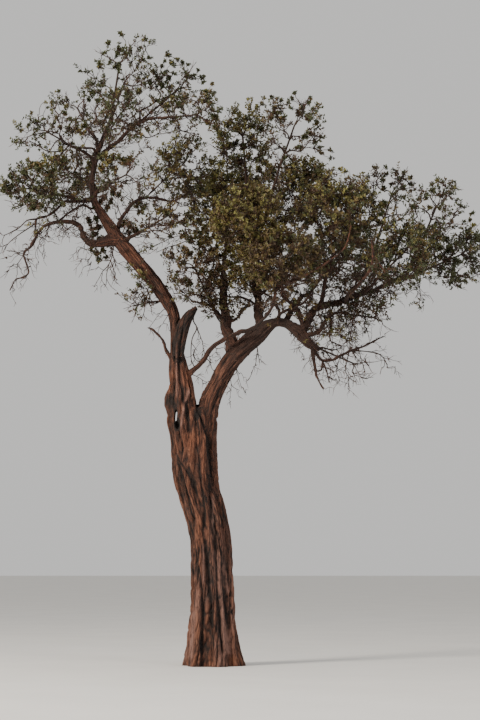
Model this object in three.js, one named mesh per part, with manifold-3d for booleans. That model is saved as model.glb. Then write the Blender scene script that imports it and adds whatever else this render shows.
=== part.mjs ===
// A desert date tree standing on open ground: a leaning, fluted trunk that forks into two great boughs,
// lesser boughs that wind out from them, and a broken crown made of separate masses of leafy twigs.
// Millimetres, +Z up, +X to the viewer's right, +Y away from the viewer; the origin is the middle of the
// flat cut under the trunk, at ground level.
import * as THREE from "three";
import { mergeVertices } from "three/addons/utils/BufferGeometryUtils.js";
import Module from "manifold-3d";

const wasm = await Module();
wasm.setup();

// Sizes that drive the whole tree
const seatGap = 0.3; // between a stem and its bough
const limbGap = 0.33; // between a limb and what it stands on; flat sides bring it down to the seat gap
const limbKink = 0.14; // how far a lesser limb strays from its smooth line, as a share of one step
const goldenTurn = Math.PI * (3 - Math.sqrt(5));
const leafyShoots = 7; // in each mass of foliage
const bareShoots = 12; // in a mass with no leaves
const neckShare = 0.38; // of a shoot's length, where its spray begins
const widestShare = 0.72; // and where the spray is widest
const sprayLength = 480; // one leaf-shaped spray stands for a shoot full of leaves
const sprayWidth = 320;
const sprayThickness = 12;
const sprayWidest = 0.55; // of a side spray's length
const sprayRoot = 4; // how far behind the middle of its twig a side spray starts
const spraySizes = [1, 0.75]; // tried in turn until one has room
const sideTurns = 4;
const sideSprayShare = 0.28; // of the shoot, where a side spray leaves it
const sideSprayLean = 1.1; // how far it leans out
const stemStart = 60; // the part of a stem that runs straight on from its bough
const stemSteps = 2;
const twigTipRadius = 10;
const footFlare = 1.15; // a shoot's foot, as a share of its neck
const footMost = 0.9; // and the most it may be of the twig that carries it
const spaceMargin = 6; // between a mass's own twigs and its neighbour's space
const endMargin = 4; // between a shoot's point and that edge
const sprayMargin = 2; // between a side spray and that edge
const boughTipShare = 0.92; // of the way from a mass's middle to its edge, where its bough ends
const leafyEnds = [0.93, 0.98]; // of the same way, where leafy shoots end
const bareEnds = [0.7, 0.98];
const shootSizes = [0.85, 1.15];
const turnStray = 0.6; // how far, in radians, a shoot's end strays from an even spiral
const stemLiking = 0.4; // how much each millimetre back to the stem counts against a twig
const flatness = 0.5; // bumps lower than this are smoothed away where twigs have been joined

// Trunk: height, lean to the right, lean away, half width, half depth
const trunkStations = [
  [0, 15, 0, 520, 480],
  [220, -5, 0, 440, 420],
  [640, -15, 0, 372, 360],
  [1200, -10, 0, 338, 335],
  [1700, -35, 5, 322, 318],
  [2200, -90, 10, 328, 310],
  [2600, -180, 15, 350, 310],
  [3000, -285, 15, 355, 300],
  [3450, -320, 10, 342, 280],
  [3700, -335, 0, 380, 275],
  [3960, -338, 0, 440, 270],
];
const trunkFlutes = { count: 6, depth: 0.05, footDepth: 0.15, footHeight: 450, twist: 0.9, second: 0.4 };
const trunkSides = 24;
const trunkRings = 15;
const ringCrowding = 1.15; // above 1 the rings lie closer together near the foot
const trunkSlot = { at: [-581, 0, 3800], half: [24, 700, 118], lean: 0.1 }; // where two strands part

// Boughs. Each starts inside what carries it and passes the places under "by". "girth" is its radius,
// from foot to tip. One with the name of a mass, or with its name under "into", runs on to its edge.
const boughs = {
  left_leader: {
    by: [[-505, 0, 3860], [-535, 0, 4075], [-520, 0, 4340], [-565, 0, 4640], [-590, 0, 4910], [-600, 0, 5225],
      [-645, 0, 5495], [-755, 0, 5700], [-955, 0, 5985], [-1190, 0, 6265], [-1380, 0, 6495], [-1540, 0, 6705],
      [-1745, 0, 7015], [-1890, 0, 7250], [-1935, 20, 7460], [-1925, 30, 7750], [-1865, 50, 8030],
      [-1775, 70, 8310], [-1650, 100, 8640]],
    girth: [225, 248, 208, 170, 122, 107, 100, 114, 126, 130, 132, 124, 90, 66, 52, 46, 42, 38, 32, 24],
    into: "top",
    sides: 8,
    steps: 19,
  },
  right_bough: {
    by: [[-100, 0, 3860], [-50, 0, 4090], [65, 0, 4370], [185, 0, 4610], [355, 0, 4845], [545, 0, 5035],
      [705, 0, 5170], [845, 0, 5290], [970, 0, 5345], [1100, 0, 5340], [1210, 0, 5295]],
    girth: [165, 160, 150, 154, 156, 162, 158, 118, 82, 80, 96],
    sides: 8,
    steps: 10,
  },
  bare_right: {
    by: [[1210, 0, 5295], [1335, 0, 5195], [1430, 0, 5090], [1505, 0, 4995]],
    girth: [96, 104, 98, 78, 38],
    sides: 8,
    steps: 4,
  },
  cross: {
    by: [[-470, -40, 4440], [-330, -75, 4580], [-180, -110, 4740], [-10, -140, 4925], [205, -190, 5095],
      [405, -260, 5170], [590, -380, 5210], [775, -700, 5315], [895, -1050, 5500]],
    girth: [54, 44, 37, 34, 22],
    into: "front_low",
    steps: 9,
  },
  back_centre: {
    by: [[310, 50, 4900], [230, 110, 5175], [190, 140, 5335], [185, 180, 5500], [170, 270, 5750],
      [140, 480, 6120], [165, 850, 6545]],
    girth: [90, 84, 60, 46, 26],
    steps: 8,
  },
  low_centre: { by: [[185, 150, 5385], [85, 130, 5465], [0, 60, 5555]], girth: [44, 34, 22] },
  high_centre: {
    by: [[690, 30, 5130], [715, 110, 5365], [715, 170, 5625], [660, 230, 5925], [645, 300, 6300],
      [600, 350, 6795], [535, 400, 7370]],
    girth: [82, 76, 66, 48, 26],
    steps: 8,
  },
  front_centre: { by: [[660, 270, 6150], [625, -100, 6310], [590, -480, 6440]], girth: [36, 28, 20] },
  high_right: { by: [[645, 305, 6350], [755, 200, 6850], [880, 50, 7385]], girth: [44, 34, 22] },
  centre_right: { by: [[675, 220, 5850], [820, 330, 6225], [1015, 520, 6740]], girth: [46, 36, 22] },
  back_right: { by: [[1115, 0, 5335], [1245, 250, 5590], [1500, 700, 5920]], girth: [52, 38, 22] },
  right_high: {
    by: [[1350, 0, 5175], [1415, 10, 5260], [1470, 20, 5360], [1520, 40, 5495], [1615, 60, 5575],
      [1775, 90, 5620], [1935, 120, 5650], [2040, 150, 5720], [2255, 200, 5925], [2425, 300, 6220],
      [2550, 400, 6525]],
    girth: [72, 68, 66, 60, 40, 30, 20],
    steps: 12,
  },
  front_right: { by: [[1670, 70, 5595], [1710, -150, 5790], [1775, -400, 6090]], girth: [40, 30, 20] },
  right_low_back: { by: [[1875, 105, 5635], [1985, 290, 5690]], girth: [34, 26, 20], steps: 4 },
  right_hanging: {
    by: [[1400, 0, 5120], [1585, -40, 5190], [1710, -80, 5295], [1800, -110, 5425], [1960, -150, 5475]],
    girth: [44, 36, 28, 20],
    steps: 6,
  },
  right_front: { by: [[1955, 130, 5660], [2165, -100, 5735], [2395, -420, 5830]], girth: [42, 34, 22] },
  far_right: { by: [[2040, 150, 5720], [2245, 170, 5785], [2500, 200, 5885], [2790, 230, 6005],
    [3110, 260, 6110]], girth: [46, 38, 32, 22] },
  right_tip_high: { by: [[3030, 255, 6080], [3150, 150, 6330]], girth: [34, 28, 20] },
  low_centre_left: { by: [[-1425, -10, 6560], [-1330, -60, 6680]], girth: [36, 28, 20], steps: 4 },
  centre_left: {
    by: [[-1530, 0, 6690], [-1505, 20, 6945], [-1455, 50, 7065], [-1310, 120, 7265], [-1145, 180, 7350]],
    girth: [48, 34, 28, 20],
    steps: 7,
  },
  bare_left: {
    by: [[-1600, 0, 6700], [-1735, -80, 6620], [-1890, -130, 6585], [-1990, -180, 6610], [-2065, -220, 6720],
      [-2145, -250, 6830], [-2220, -270, 6860], [-2380, -300, 6875], [-2565, -340, 6840],
      [-2685, -370, 6785]],
    girth: [64, 50, 40, 32, 26, 18],
    steps: 11,
  },
  far_left: { by: [[-1935, 0, 7310], [-2075, -60, 7285], [-2225, -130, 7305]], girth: [46, 34, 22] },
  left_low: { by: [[-1900, 5, 7350], [-1830, -150, 7440]], girth: [34, 26, 20], steps: 4 },
  left_mid: { by: [[-1930, 20, 7495], [-2030, 220, 7585]], girth: [40, 30, 20], steps: 4 },
  upper_right: {
    by: [[-1900, 50, 7950], [-1695, 120, 8125], [-1450, 220, 8355], [-1250, 330, 8595]],
    girth: [46, 38, 30, 20],
    steps: 6,
  },
  inner_right: { by: [[-1250, 330, 8595], [-1030, 150, 8640]], girth: [30, 25, 20], steps: 4 },
  left_heart: { by: [[-1820, 60, 8175], [-1745, -170, 8230]], girth: [34, 26, 20], steps: 4 },
  left_high: { by: [[-1895, 40, 7900], [-2010, -20, 8010]], girth: [42, 30, 20], steps: 4 },
  back_left: { by: [[-1835, 60, 8130], [-1930, 250, 8315]], girth: [36, 28, 20], steps: 4 },
  leader_left: { by: [[-760, 0, 5700], [-870, 20, 5690]], girth: [26, 22, 18], steps: 3 },
};
const boughSides = 6;
const boughSteps = 5;

// Snapped limbs that carry no leaves and are one with the left leader
const snags = {
  stub: {
    by: [[-560, -30, 4875], [-545, -60, 5030], [-520, -85, 5170], [-470, -100, 5310], [-345, -115, 5495],
      [-260, -120, 5590]],
    girth: [88, 84, 78, 68, 56, 26],
  },
  twig: {
    by: [[-645, 0, 4720], [-755, -40, 4935], [-800, -50, 5030], [-955, -90, 5205], [-1030, -100, 5245]],
    girth: [30, 24, 20, 14, 8],
  },
};
const snagSides = 6;
const snagSteps = 5;

// Masses of leafy twigs: the middle of each one's space, and how far it spreads to the side, away and up
const masses = {
  top: { at: [-1530, 150, 9490], spread: [520, 600, 590] },
  upper_right: { at: [-570, 600, 9240], spread: [580, 660, 540] },
  left_high: { at: [-2590, -350, 8300], spread: [540, 640, 440] },
  back_left: { at: [-2270, 1100, 9020], spread: [540, 640, 460] },
  left_heart: { at: [-1480, -950, 8400], spread: [540, 620, 480] },
  far_left: { at: [-2850, -450, 7400], spread: [540, 660, 470] },
  left_mid: { at: [-2320, 900, 7890], spread: [540, 660, 450] },
  left_low: { at: [-1360, -720, 7560], spread: [540, 620, 440] },
  inner_right: { at: [-280, -300, 8600], spread: [520, 680, 440] },
  centre_left: { at: [-520, 400, 7940], spread: [580, 680, 520] },
  low_centre_left: { at: [-690, -600, 6950], spread: [600, 660, 430] },
  low_centre: { at: [-300, -380, 6150], spread: [570, 640, 520] },
  back_centre: { at: [230, 1600, 7600], spread: [720, 760, 640] },
  front_centre: { at: [540, -1150, 6760], spread: [660, 700, 600] },
  high_centre: { at: [450, 500, 8420], spread: [620, 740, 560] },
  high_right: { at: [1260, -320, 8420], spread: [620, 720, 560] },
  centre_right: { at: [1420, 900, 7620], spread: [660, 740, 600] },
  front_low: { at: [1060, -1550, 6090], spread: [680, 700, 560] },
  front_right: { at: [1960, -1050, 6990], spread: [650, 720, 600] },
  back_right: { at: [2160, 1650, 6680], spread: [700, 760, 600] },
  right_high: { at: [2860, 750, 7520], spread: [580, 680, 570] },
  right_tip_high: { at: [3480, -300, 7120], spread: [560, 660, 520] },
  right_front: { at: [2900, -1150, 6280], spread: [640, 700, 560] },
  far_right: { at: [3940, 350, 6480], spread: [620, 760, 580] },
  right_low_back: { at: [2500, 950, 5990], spread: [560, 640, 400] },
  right_hanging: { at: [2480, -350, 5380], spread: [420, 520, 380] },
  leader_left: { at: [-1190, 100, 5640], spread: [270, 340, 340] },
  bare_left: { at: [-3040, -500, 6210], spread: [330, 380, 460], bare: true },
  bare_right: { at: [2170, -30, 4700], spread: [640, 460, 480], bare: true },
};

const bark = new THREE.MeshStandardMaterial({ color: 0x5d4336, roughness: 0.95, metalness: 0 });
const foliage = new THREE.MeshStandardMaterial({ color: 0x4f5427, roughness: 0.7, metalness: 0 });
const bareTwigs = new THREE.MeshStandardMaterial({ color: 0x3f2f27, roughness: 0.9, metalness: 0 });

const vector = ([x, y, z]) => new THREE.Vector3(x, y, z);
const smoothLine = (places) => new THREE.CatmullRomCurve3(places, false, "catmullrom", 0.5);
const between = ([low, high], share) => low + (high - low) * share;

// The same run of numbers between 0 and 1 each time for one seed
function seeded(seed) {
  let state = seed * 7919 + 17;
  return () => {
    state = (state * 16807) % 2147483647;
    return state / 2147483647;
  };
}

function solidOf(geometry) {
  geometry.deleteAttribute("normal");
  geometry.deleteAttribute("uv");
  const merged = mergeVertices(geometry, 1e-3);
  const vertProperties = new Float32Array(merged.attributes.position.array);
  const triVerts = new Uint32Array(merged.index.array);
  return new wasm.Manifold(new wasm.Mesh({ numProp: 3, vertProperties, triVerts }));
}

function meshOf(solid, name, material) {
  const { numProp, numVert, vertProperties, triVerts } = solid.getMesh();
  const places = new Float32Array(numVert * 3);
  for (let i = 0; i < numVert; i++) {
    places.set(vertProperties.subarray(i * numProp, i * numProp + 3), i * 3);
  }
  const geometry = new THREE.BufferGeometry()
    .setAttribute("position", new THREE.BufferAttribute(places, 3))
    .setIndex(new THREE.BufferAttribute(triVerts, 1));
  geometry.computeVertexNormals();
  const mesh = new THREE.Mesh(geometry, material);
  mesh.name = name;
  return mesh;
}

// The largest body of a solid, with loose scraps and sealed hollows left out
function wholeBody(solid) {
  const bodies = solid.decompose();
  return bodies.reduce((best, body) => (body.volume() > best.volume() ? body : best));
}

// A value from an evenly spaced list, at a share of its length
function along(values, share) {
  const place = Math.min(Math.max(share, 0), 1) * (values.length - 1);
  const i = Math.min(Math.floor(place), values.length - 2);
  return values[i] + (values[i + 1] - values[i]) * (place - i);
}

// Directions across a line of points, carried along it without twisting
function framesAlong(points) {
  let across = null;
  return points.map((_, i) => {
    const ahead = points[Math.min(i + 1, points.length - 1)];
    const behind = points[Math.max(i - 1, 0)];
    const forward = ahead.clone().sub(behind).normalize();
    if (!across) across = Math.abs(forward.y) < 0.8 ? vector([0, 1, 0]) : vector([1, 0, 0]);
    across = across.clone().addScaledVector(forward, -across.dot(forward)).normalize();
    return { across, beside: across.clone().cross(forward) };
  });
}

// A tapering round bar along a line of points, from an upright cylinder
function tube(points, radii, sides) {
  const steps = points.length - 1;
  const geometry = new THREE.CylinderGeometry(1, 1, steps, sides, steps);
  const frames = framesAlong(points);
  const place = geometry.attributes.position;
  for (let i = 0; i < place.count; i++) {
    const ring = Math.round(place.getY(i) + steps / 2);
    const { across, beside } = frames[ring];
    const spot = points[ring]
      .clone()
      .addScaledVector(across, place.getX(i) * radii[ring])
      .addScaledVector(beside, place.getZ(i) * radii[ring]);
    place.setXYZ(i, spot.x, spot.y, spot.z);
  }
  return solidOf(geometry);
}

// Trunk

function trunkSection(height) {
  let i = 0;
  while (i < trunkStations.length - 2 && height > trunkStations[i + 1][0]) i++;
  const [low, high] = [trunkStations[i], trunkStations[i + 1]];
  const share = (height - low[0]) / (high[0] - low[0]);
  const ease = share * share * (3 - 2 * share);
  const [, x, y, halfWidth, halfDepth] = low.map((value, k) => value + (high[k] - value) * ease);
  return { x, y, halfWidth, halfDepth };
}

function fluteAt(angle, height, top) {
  const foot = Math.exp(-height / trunkFlutes.footHeight);
  const depth = trunkFlutes.depth + (trunkFlutes.footDepth - trunkFlutes.depth) * foot;
  const turned = angle * trunkFlutes.count + (trunkFlutes.twist * height) / top;
  return 1 + depth * (Math.sin(turned) + trunkFlutes.second * Math.sin(2 * turned + 1.3));
}

function trunkSolid(grow) {
  const top = trunkStations.at(-1)[0];
  const geometry = new THREE.CylinderGeometry(1, 1, trunkRings, trunkSides, trunkRings);
  const place = geometry.attributes.position;
  for (let i = 0; i < place.count; i++) {
    const share = Math.round(place.getY(i) + trunkRings / 2) / trunkRings;
    const height = top * share ** ringCrowding;
    const { x, y, halfWidth, halfDepth } = trunkSection(height);
    const [side, front] = [place.getX(i), -place.getZ(i)];
    const flute = fluteAt(Math.atan2(front, side), height, top);
    const across = side * (halfWidth * flute + grow);
    const away = front * (halfDepth * flute + grow);
    place.setXYZ(i, x + across, y + away, share === 1 ? height + grow : height);
  }
  return solidOf(geometry);
}

function slotSolid() {
  const geometry = new THREE.SphereGeometry(1, 8, 6)
    .scale(...trunkSlot.half)
    .rotateY(trunkSlot.lean)
    .translate(...trunkSlot.at);
  return solidOf(geometry);
}

// Spaces of the masses. Each is an egg, cut flat halfway to each neighbour.

const spaces = Object.entries(masses).map(([name, { at, spread, bare }]) => ({
  name,
  bare,
  middle: vector(at),
  spread: vector(spread),
}));

function eggReach(space, direction) {
  return 1 / direction.clone().divide(space.spread).length();
}

for (const space of spaces) {
  space.walls = spaces
    .filter((other) => other !== space)
    .map((other) => {
      const apart = other.middle.clone().sub(space.middle);
      const direction = apart.clone().normalize();
      const [own, theirs] = [eggReach(space, direction), eggReach(other, direction)];
      return { direction, distance: (apart.length() * own) / (own + theirs) };
    });
}

// How far the space goes from its middle in one direction
function reach(space, direction) {
  const walls = space.walls
    .map((wall) => wall.distance / direction.dot(wall.direction))
    .filter((distance) => distance > 0);
  return Math.min(eggReach(space, direction), ...walls) - spaceMargin;
}

function inSpace(space, point, margin) {
  const place = point.clone().sub(space.middle);
  if (place.clone().divide(space.spread).length() > 1) return false;
  return space.walls.every((wall) => place.dot(wall.direction) < wall.distance - margin);
}

// Limbs

function limbLine(name, limb) {
  const line = limb.by.map(vector);
  const space = spaces.find((one) => one.name === (limb.into ?? name));
  if (space) {
    const inward = line.at(-1).clone().sub(space.middle).normalize();
    line.push(space.middle.clone().addScaledVector(inward, reach(space, inward) * boughTipShare));
  }
  const steps = limb.steps ?? boughSteps;
  const curve = smoothLine(line);
  const points = curve.getPoints(steps);
  if (limb.sides) return points;
  const random = seeded(name.length * 31 + limb.by.length + steps);
  const stray = (limbKink * curve.getLength()) / steps;
  for (let i = 2; i < steps - 1; i++) {
    points[i].add(vector([random() - 0.5, random() - 0.5, random() - 0.5]).multiplyScalar(stray));
  }
  return points;
}

function girthsAlong(limb, points) {
  return points.map((_, i) => along(limb.girth, i / (points.length - 1)));
}

// The same limb a seat gap larger all round, to cut what meets it
function cutterOf(points, radii, sides) {
  const longer = points.map((point) => point.clone());
  const last = longer.at(-1);
  last.addScaledVector(last.clone().sub(longer.at(-2)).normalize(), limbGap);
  return tube(longer, radii.map((radius) => radius + limbGap), sides);
}

const trunkCutter = trunkSolid(seatGap);
const limbs = {
  trunk: { solid: trunkSolid(0).subtract(slotSolid()), cutter: trunkCutter, box: trunkCutter.boundingBox() },
};

// A limb is cut clear of all that was made before it
for (const [name, limb] of Object.entries(boughs)) {
  const points = limbLine(name, limb);
  const radii = girthsAlong(limb, points);
  const sides = limb.sides ?? boughSides;
  let solid = tube(points, radii, sides);
  let cutter = cutterOf(points, radii, sides);
  if (name === "left_leader") {
    for (const snag of Object.values(snags)) {
      const snagPoints = smoothLine(snag.by.map(vector)).getPoints(snagSteps);
      const snagRadii = girthsAlong(snag, snagPoints);
      solid = solid.add(tube(snagPoints, snagRadii, snagSides));
      cutter = cutter.add(cutterOf(snagPoints, snagRadii, snagSides));
    }
  }
  const cut = Object.values(limbs).reduce((left, other) => left.subtract(other.cutter), solid);
  limbs[name] = { points, radii, solid: wholeBody(cut), cutter, box: cutter.boundingBox() };
}

// Whether one box reaches another
function meets(a, b) {
  return a.min.every((low, k) => low <= b.max[k]) && b.min.every((low, k) => low <= a.max[k]);
}

function clearOfLimbs(solid) {
  const box = solid.boundingBox();
  return Object.values(limbs).every(({ cutter, box: limbBox }) => {
    return !meets(box, limbBox) || solid.intersect(cutter).isEmpty();
  });
}

// Twigs of one mass. Each shoot ends near the edge of the space and leaves the nearest twig, and a twig
// nearer the stem is liked better. It is bare up to its neck, and later shoots may leave it there.

// Where the shoots of a mass end: a spiral over its whole surface, the nearest to the stem's foot first
function shootEnds(space, foot, random) {
  const count = space.bare ? bareShoots : leafyShoots;
  const ends = [];
  for (let i = 0; i < count; i++) {
    const height = 1 - (2 * (i + 0.5)) / count;
    const flat = Math.sqrt(1 - height * height);
    const turn = i * goldenTurn + random() * turnStray;
    const direction = vector([flat * Math.cos(turn), flat * Math.sin(turn), height]);
    const share = between(space.bare ? bareEnds : leafyEnds, random());
    ends.push({
      place: space.middle.clone().addScaledVector(direction, reach(space, direction) * share),
      roll: random() * Math.PI,
      sideTurn: random() * Math.PI * 2,
      size: between(shootSizes, random()),
    });
  }
  return ends.sort((a, b) => a.place.distanceTo(foot) - b.place.distanceTo(foot));
}

function growShoots(space, bough, random) {
  const tip = bough.points.at(-1);
  const forward = tip.clone().sub(bough.points.at(-2)).normalize();
  const foot = tip.clone().addScaledVector(forward, seatGap);
  const stem = [foot, foot.clone().addScaledVector(forward, stemStart)];
  for (let i = 1; i <= stemSteps; i++) stem.push(stem[1].clone().lerp(space.middle, i / stemSteps));
  const joints = stem.map((place) => ({ place, length: foot.distanceTo(place), fed: 0 })).slice(1);
  joints.forEach((joint, i) => { joint.on = joints[i - 1]; });
  const shoots = [];
  for (const end of shootEnds(space, foot, random)) {
    const cost = (joint) => joint.place.distanceTo(end.place) + stemLiking * joint.length;
    const on = joints.reduce((best, joint) => (cost(joint) < cost(best) ? joint : best));
    const path = shootSolid(on.place, end, twigTipRadius, twigTipRadius, space.bare);
    if (!inSpace(space, end.place, endMargin) || !clearOfLimbs(path)) continue;
    const place = on.place.clone().lerp(end.place, neckShare);
    const joint = { place, length: on.length + on.place.distanceTo(place), fed: 1, on };
    for (let below = on; below; below = below.on) below.fed += 1;
    joints.push(joint);
    shoots.push({ on, joint, end });
  }
  return { stem, joints, shoots };
}

// A twig is thicker the more shoots it feeds
function twigRadius(joint, joints, stemRadius) {
  const share = (joint.fed - 1) / (joints[0].fed - 1 || 1);
  return between([twigTipRadius, stemRadius], Math.sqrt(share));
}

// A shoot is a three-sided bar with a foot, a neck and a point. A leafy one is flat and wide between the
// last two, like one large leaf.
function shootSolid(from, end, footRadius, neckRadius, bare) {
  const rings = [
    [0, footRadius, footRadius],
    [neckShare, neckRadius, neckRadius],
    [1, 0, 0],
  ];
  if (!bare) rings.splice(2, 0, [widestShare, (sprayWidth * end.size) / 2, sprayThickness / 2]);
  const length = from.distanceTo(end.place);
  const steps = rings.length - 1;
  const geometry = new THREE.ConeGeometry(1, steps, 3, steps);
  const place = geometry.attributes.position;
  for (let i = 0; i < place.count; i++) {
    const ring = Math.round(place.getY(i) + steps / 2);
    const [share, wide, thick] = rings[ring];
    const taper = 1 - ring / steps || 1;
    place.setXYZ(i, (place.getX(i) / taper) * wide, share * length, (place.getZ(i) / taper) * thick);
  }
  return solidOf(turnTo(geometry.rotateY(end.roll), from, end.place));
}

// Turns a shape that points up to point from one place to another
function turnTo(geometry, from, to) {
  const direction = to.clone().sub(from).normalize();
  return geometry
    .applyQuaternion(new THREE.Quaternion().setFromUnitVectors(new THREE.Vector3(0, 1, 0), direction))
    .translate(from.x, from.y, from.z);
}

// A spray leaving the side of a shoot, with its foot sunk in the twig
function spraySolid(space, foot, direction, roll, size) {
  const length = sprayLength * size;
  const width = sprayWidth * size;
  const geometry = new THREE.OctahedronGeometry(1);
  const place = geometry.attributes.position;
  for (let i = 0; i < place.count; i++) {
    const up = place.getY(i);
    const share = up > 0.5 ? 1 : up < -0.5 ? 0 : sprayWidest;
    const across = (place.getX(i) * width) / 2;
    place.setXYZ(i, across, share * length - sprayRoot, (place.getZ(i) * sprayThickness) / 2);
  }
  turnTo(geometry.rotateY(roll), foot, foot.clone().add(direction));
  for (let i = 0; i < place.count; i++) {
    if (!inSpace(space, new THREE.Vector3().fromBufferAttribute(place, i), sprayMargin)) return null;
  }
  const solid = solidOf(geometry);
  return clearOfLimbs(solid) ? solid : null;
}

const touches = (a, b) => meets(a.boundingBox(), b.boundingBox()) && !a.intersect(b).isEmpty();

// A side spray takes the first turn and size that keep it clear of limbs and of the shoots placed before
function sideSpray(space, shoot, placed) {
  const { on, end } = shoot;
  const onward = end.place.clone().sub(on.place).normalize();
  const level = vector([0, 0, 1]).cross(onward).normalize();
  const upright = onward.clone().cross(level);
  const foot = on.place.clone().lerp(end.place, sideSprayShare);
  for (const size of spraySizes) {
    for (let i = 0; i < sideTurns; i++) {
      const turn = end.sideTurn + (i * Math.PI * 2) / sideTurns;
      const side = level.clone().multiplyScalar(Math.cos(turn)).addScaledVector(upright, Math.sin(turn));
      const direction = onward.clone().addScaledVector(side, sideSprayLean).normalize();
      const spray = spraySolid(space, foot, direction, turn, size);
      if (spray && placed.every((other) => !touches(spray, other))) return spray;
    }
  }
  return null;
}

function massSolid(space, bough, seed) {
  const { stem, joints, shoots } = growShoots(space, bough, seeded(seed));
  const stemRadius = bough.radii.at(-1);
  const stemRadii = [stemRadius];
  for (let i = 1; i < stem.length; i++) stemRadii.push(twigRadius(joints[i - 1], joints, stemRadius));
  const bars = shoots.map(({ on, joint, end }) => {
    const neckRadius = twigRadius(joint, joints, stemRadius);
    const footRadius = Math.min(neckRadius * footFlare, twigRadius(on, joints, stemRadius) * footMost);
    return shootSolid(on.place, end, footRadius, neckRadius, space.bare);
  });
  const pieces = [tube(stem, stemRadii, 3), ...bars];
  if (!space.bare) {
    shoots.forEach((shoot, i) => {
      const spray = sideSpray(space, shoot, pieces.filter((piece) => piece !== bars[i]));
      if (spray) pieces.push(spray);
    });
  }
  return wholeBody(wasm.Manifold.union(pieces)).simplify(flatness);
}

// The tree

const tree = new THREE.Group();
tree.add(meshOf(limbs.trunk.solid, "trunk", bark));
for (const name of Object.keys(boughs)) {
  const label = name === "left_leader" || name === "right_bough" ? name : `${name}_bough`;
  tree.add(meshOf(limbs[name].solid, label, bark));
}
spaces.forEach((space, i) => {
  const carrier = Object.keys(boughs).find((name) => (boughs[name].into ?? name) === space.name);
  const solid = massSolid(space, limbs[carrier], i + 1);
  const [kind, material] = space.bare ? ["twigs", bareTwigs] : ["foliage", foliage];
  tree.add(meshOf(solid, `${space.name}_${kind}`, material));
});

export default tree;
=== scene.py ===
# Desert date tree: furrowed bark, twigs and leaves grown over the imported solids, on a pale floor
import math

import bpy
import numpy as np
from mathutils import Matrix, Vector, noise
from mathutils.bvhtree import BVHTree


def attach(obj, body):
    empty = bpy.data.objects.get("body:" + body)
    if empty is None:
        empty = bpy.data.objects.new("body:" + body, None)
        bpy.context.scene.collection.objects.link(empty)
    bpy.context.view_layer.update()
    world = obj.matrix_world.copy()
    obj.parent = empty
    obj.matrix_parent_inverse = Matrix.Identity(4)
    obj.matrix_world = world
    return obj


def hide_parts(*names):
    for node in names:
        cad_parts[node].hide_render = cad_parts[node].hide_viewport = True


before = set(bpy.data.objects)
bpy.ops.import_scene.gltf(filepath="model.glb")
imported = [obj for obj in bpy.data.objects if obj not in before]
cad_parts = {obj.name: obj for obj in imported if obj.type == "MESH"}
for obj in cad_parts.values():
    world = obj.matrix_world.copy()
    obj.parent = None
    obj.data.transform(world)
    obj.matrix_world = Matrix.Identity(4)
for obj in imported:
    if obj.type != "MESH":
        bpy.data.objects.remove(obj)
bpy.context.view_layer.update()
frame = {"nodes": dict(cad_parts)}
bpy.ops.object.select_all(action="DESELECT")
mm = 0.001
up = Vector((0, 0, 1))

# The camera stands at a person's eye height and looks up a little
cameraValues = {
    "place": (0.406, -31.25, 1.61), "pitch": math.atan(201 / 2000), "lens": 100, "sensor": 36,
    "far": 400, "picture": (480, 720),
}


def addCamera(values):
    bpy.ops.object.camera_add(location=values["place"], rotation=(math.pi / 2 + values["pitch"], 0, 0))
    camera = bpy.context.object
    camera.data.lens = values["lens"]
    camera.data.sensor_width = values["sensor"]
    camera.data.clip_end = values["far"]
    bpy.context.scene.camera = camera


# Small tools

def seeded(seed):  # the same run of numbers between 0 and 1 each time for one seed
    largest = 2147483647
    state = seed * 7919 + 17

    def draw():
        nonlocal state
        state = state * 16807 % largest
        return state / largest

    return draw


def between(pair, share):
    return pair[0] + (pair[1] - pair[0]) * share


def strayVector(draw):
    return Vector((draw() - 0.5, draw() - 0.5, draw() - 0.5))


def evenDirection(i, count, turn):  # one of several directions spread evenly over a ball
    height = 1 - 2 * (i + 0.5) / count
    flat = math.sqrt(1 - height * height)
    return Vector((flat * math.cos(turn), flat * math.sin(turn), height))


def alongList(values, share):  # a value from an evenly spaced list, at a share of its length
    place = min(max(share, 0), 1) * (len(values) - 1)
    i = min(int(place), len(values) - 2)
    return values[i] + (values[i + 1] - values[i]) * (place - i)


def linePoint(points, share):  # a place on the smooth line through the points
    place = share * (len(points) - 1)
    i = min(int(place), len(points) - 2)
    t = place - i
    p1 = points[i]
    p2 = points[i + 1]
    p0 = points[i - 1] if i > 0 else p1 * 2 - p2
    p3 = points[i + 2] if i + 2 < len(points) else p2 * 2 - p1
    m1 = (p2 - p0) * 0.5
    m2 = (p3 - p1) * 0.5
    return p1 + m1 * t + (p2 * 3 - p1 * 3 - m1 * 2 - m2) * t**2 + (p1 * 2 - p2 * 2 + m1 + m2) * t**3


def smoothLine(points, steps):
    return [linePoint(points, i / steps) for i in range(steps + 1)]


def wayAt(points, share, step):  # the direction of the smooth line at a share of its length
    return (linePoint(points, min(share + step, 1)) - linePoint(points, max(share - step, 0))).normalized()


def lineLength(points):
    return sum((b - a).length for a, b in zip(points, points[1:]))


def lineFrames(points):  # directions across the line, carried along it without twisting
    across = None
    frames = []
    for i in range(len(points)):
        forward = (points[min(i + 1, len(points) - 1)] - points[max(i - 1, 0)]).normalized()
        if across is None:
            across = Vector((0, 1, 0)) if abs(forward.y) < 0.8 else Vector((1, 0, 0))
        across = (across - forward * across.dot(forward)).normalized()
        frames.append((across, across.cross(forward), forward))
    return frames


def around(frame, turn):  # a direction across the line, turned about it
    return frame[0] * math.cos(turn) + frame[1] * math.sin(turn)


def turnedAside(way, turn):  # the same where only the line's direction is known
    aside = way.orthogonal().normalized()
    aside.rotate(Matrix.Rotation(turn, 3, way))
    return aside


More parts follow.
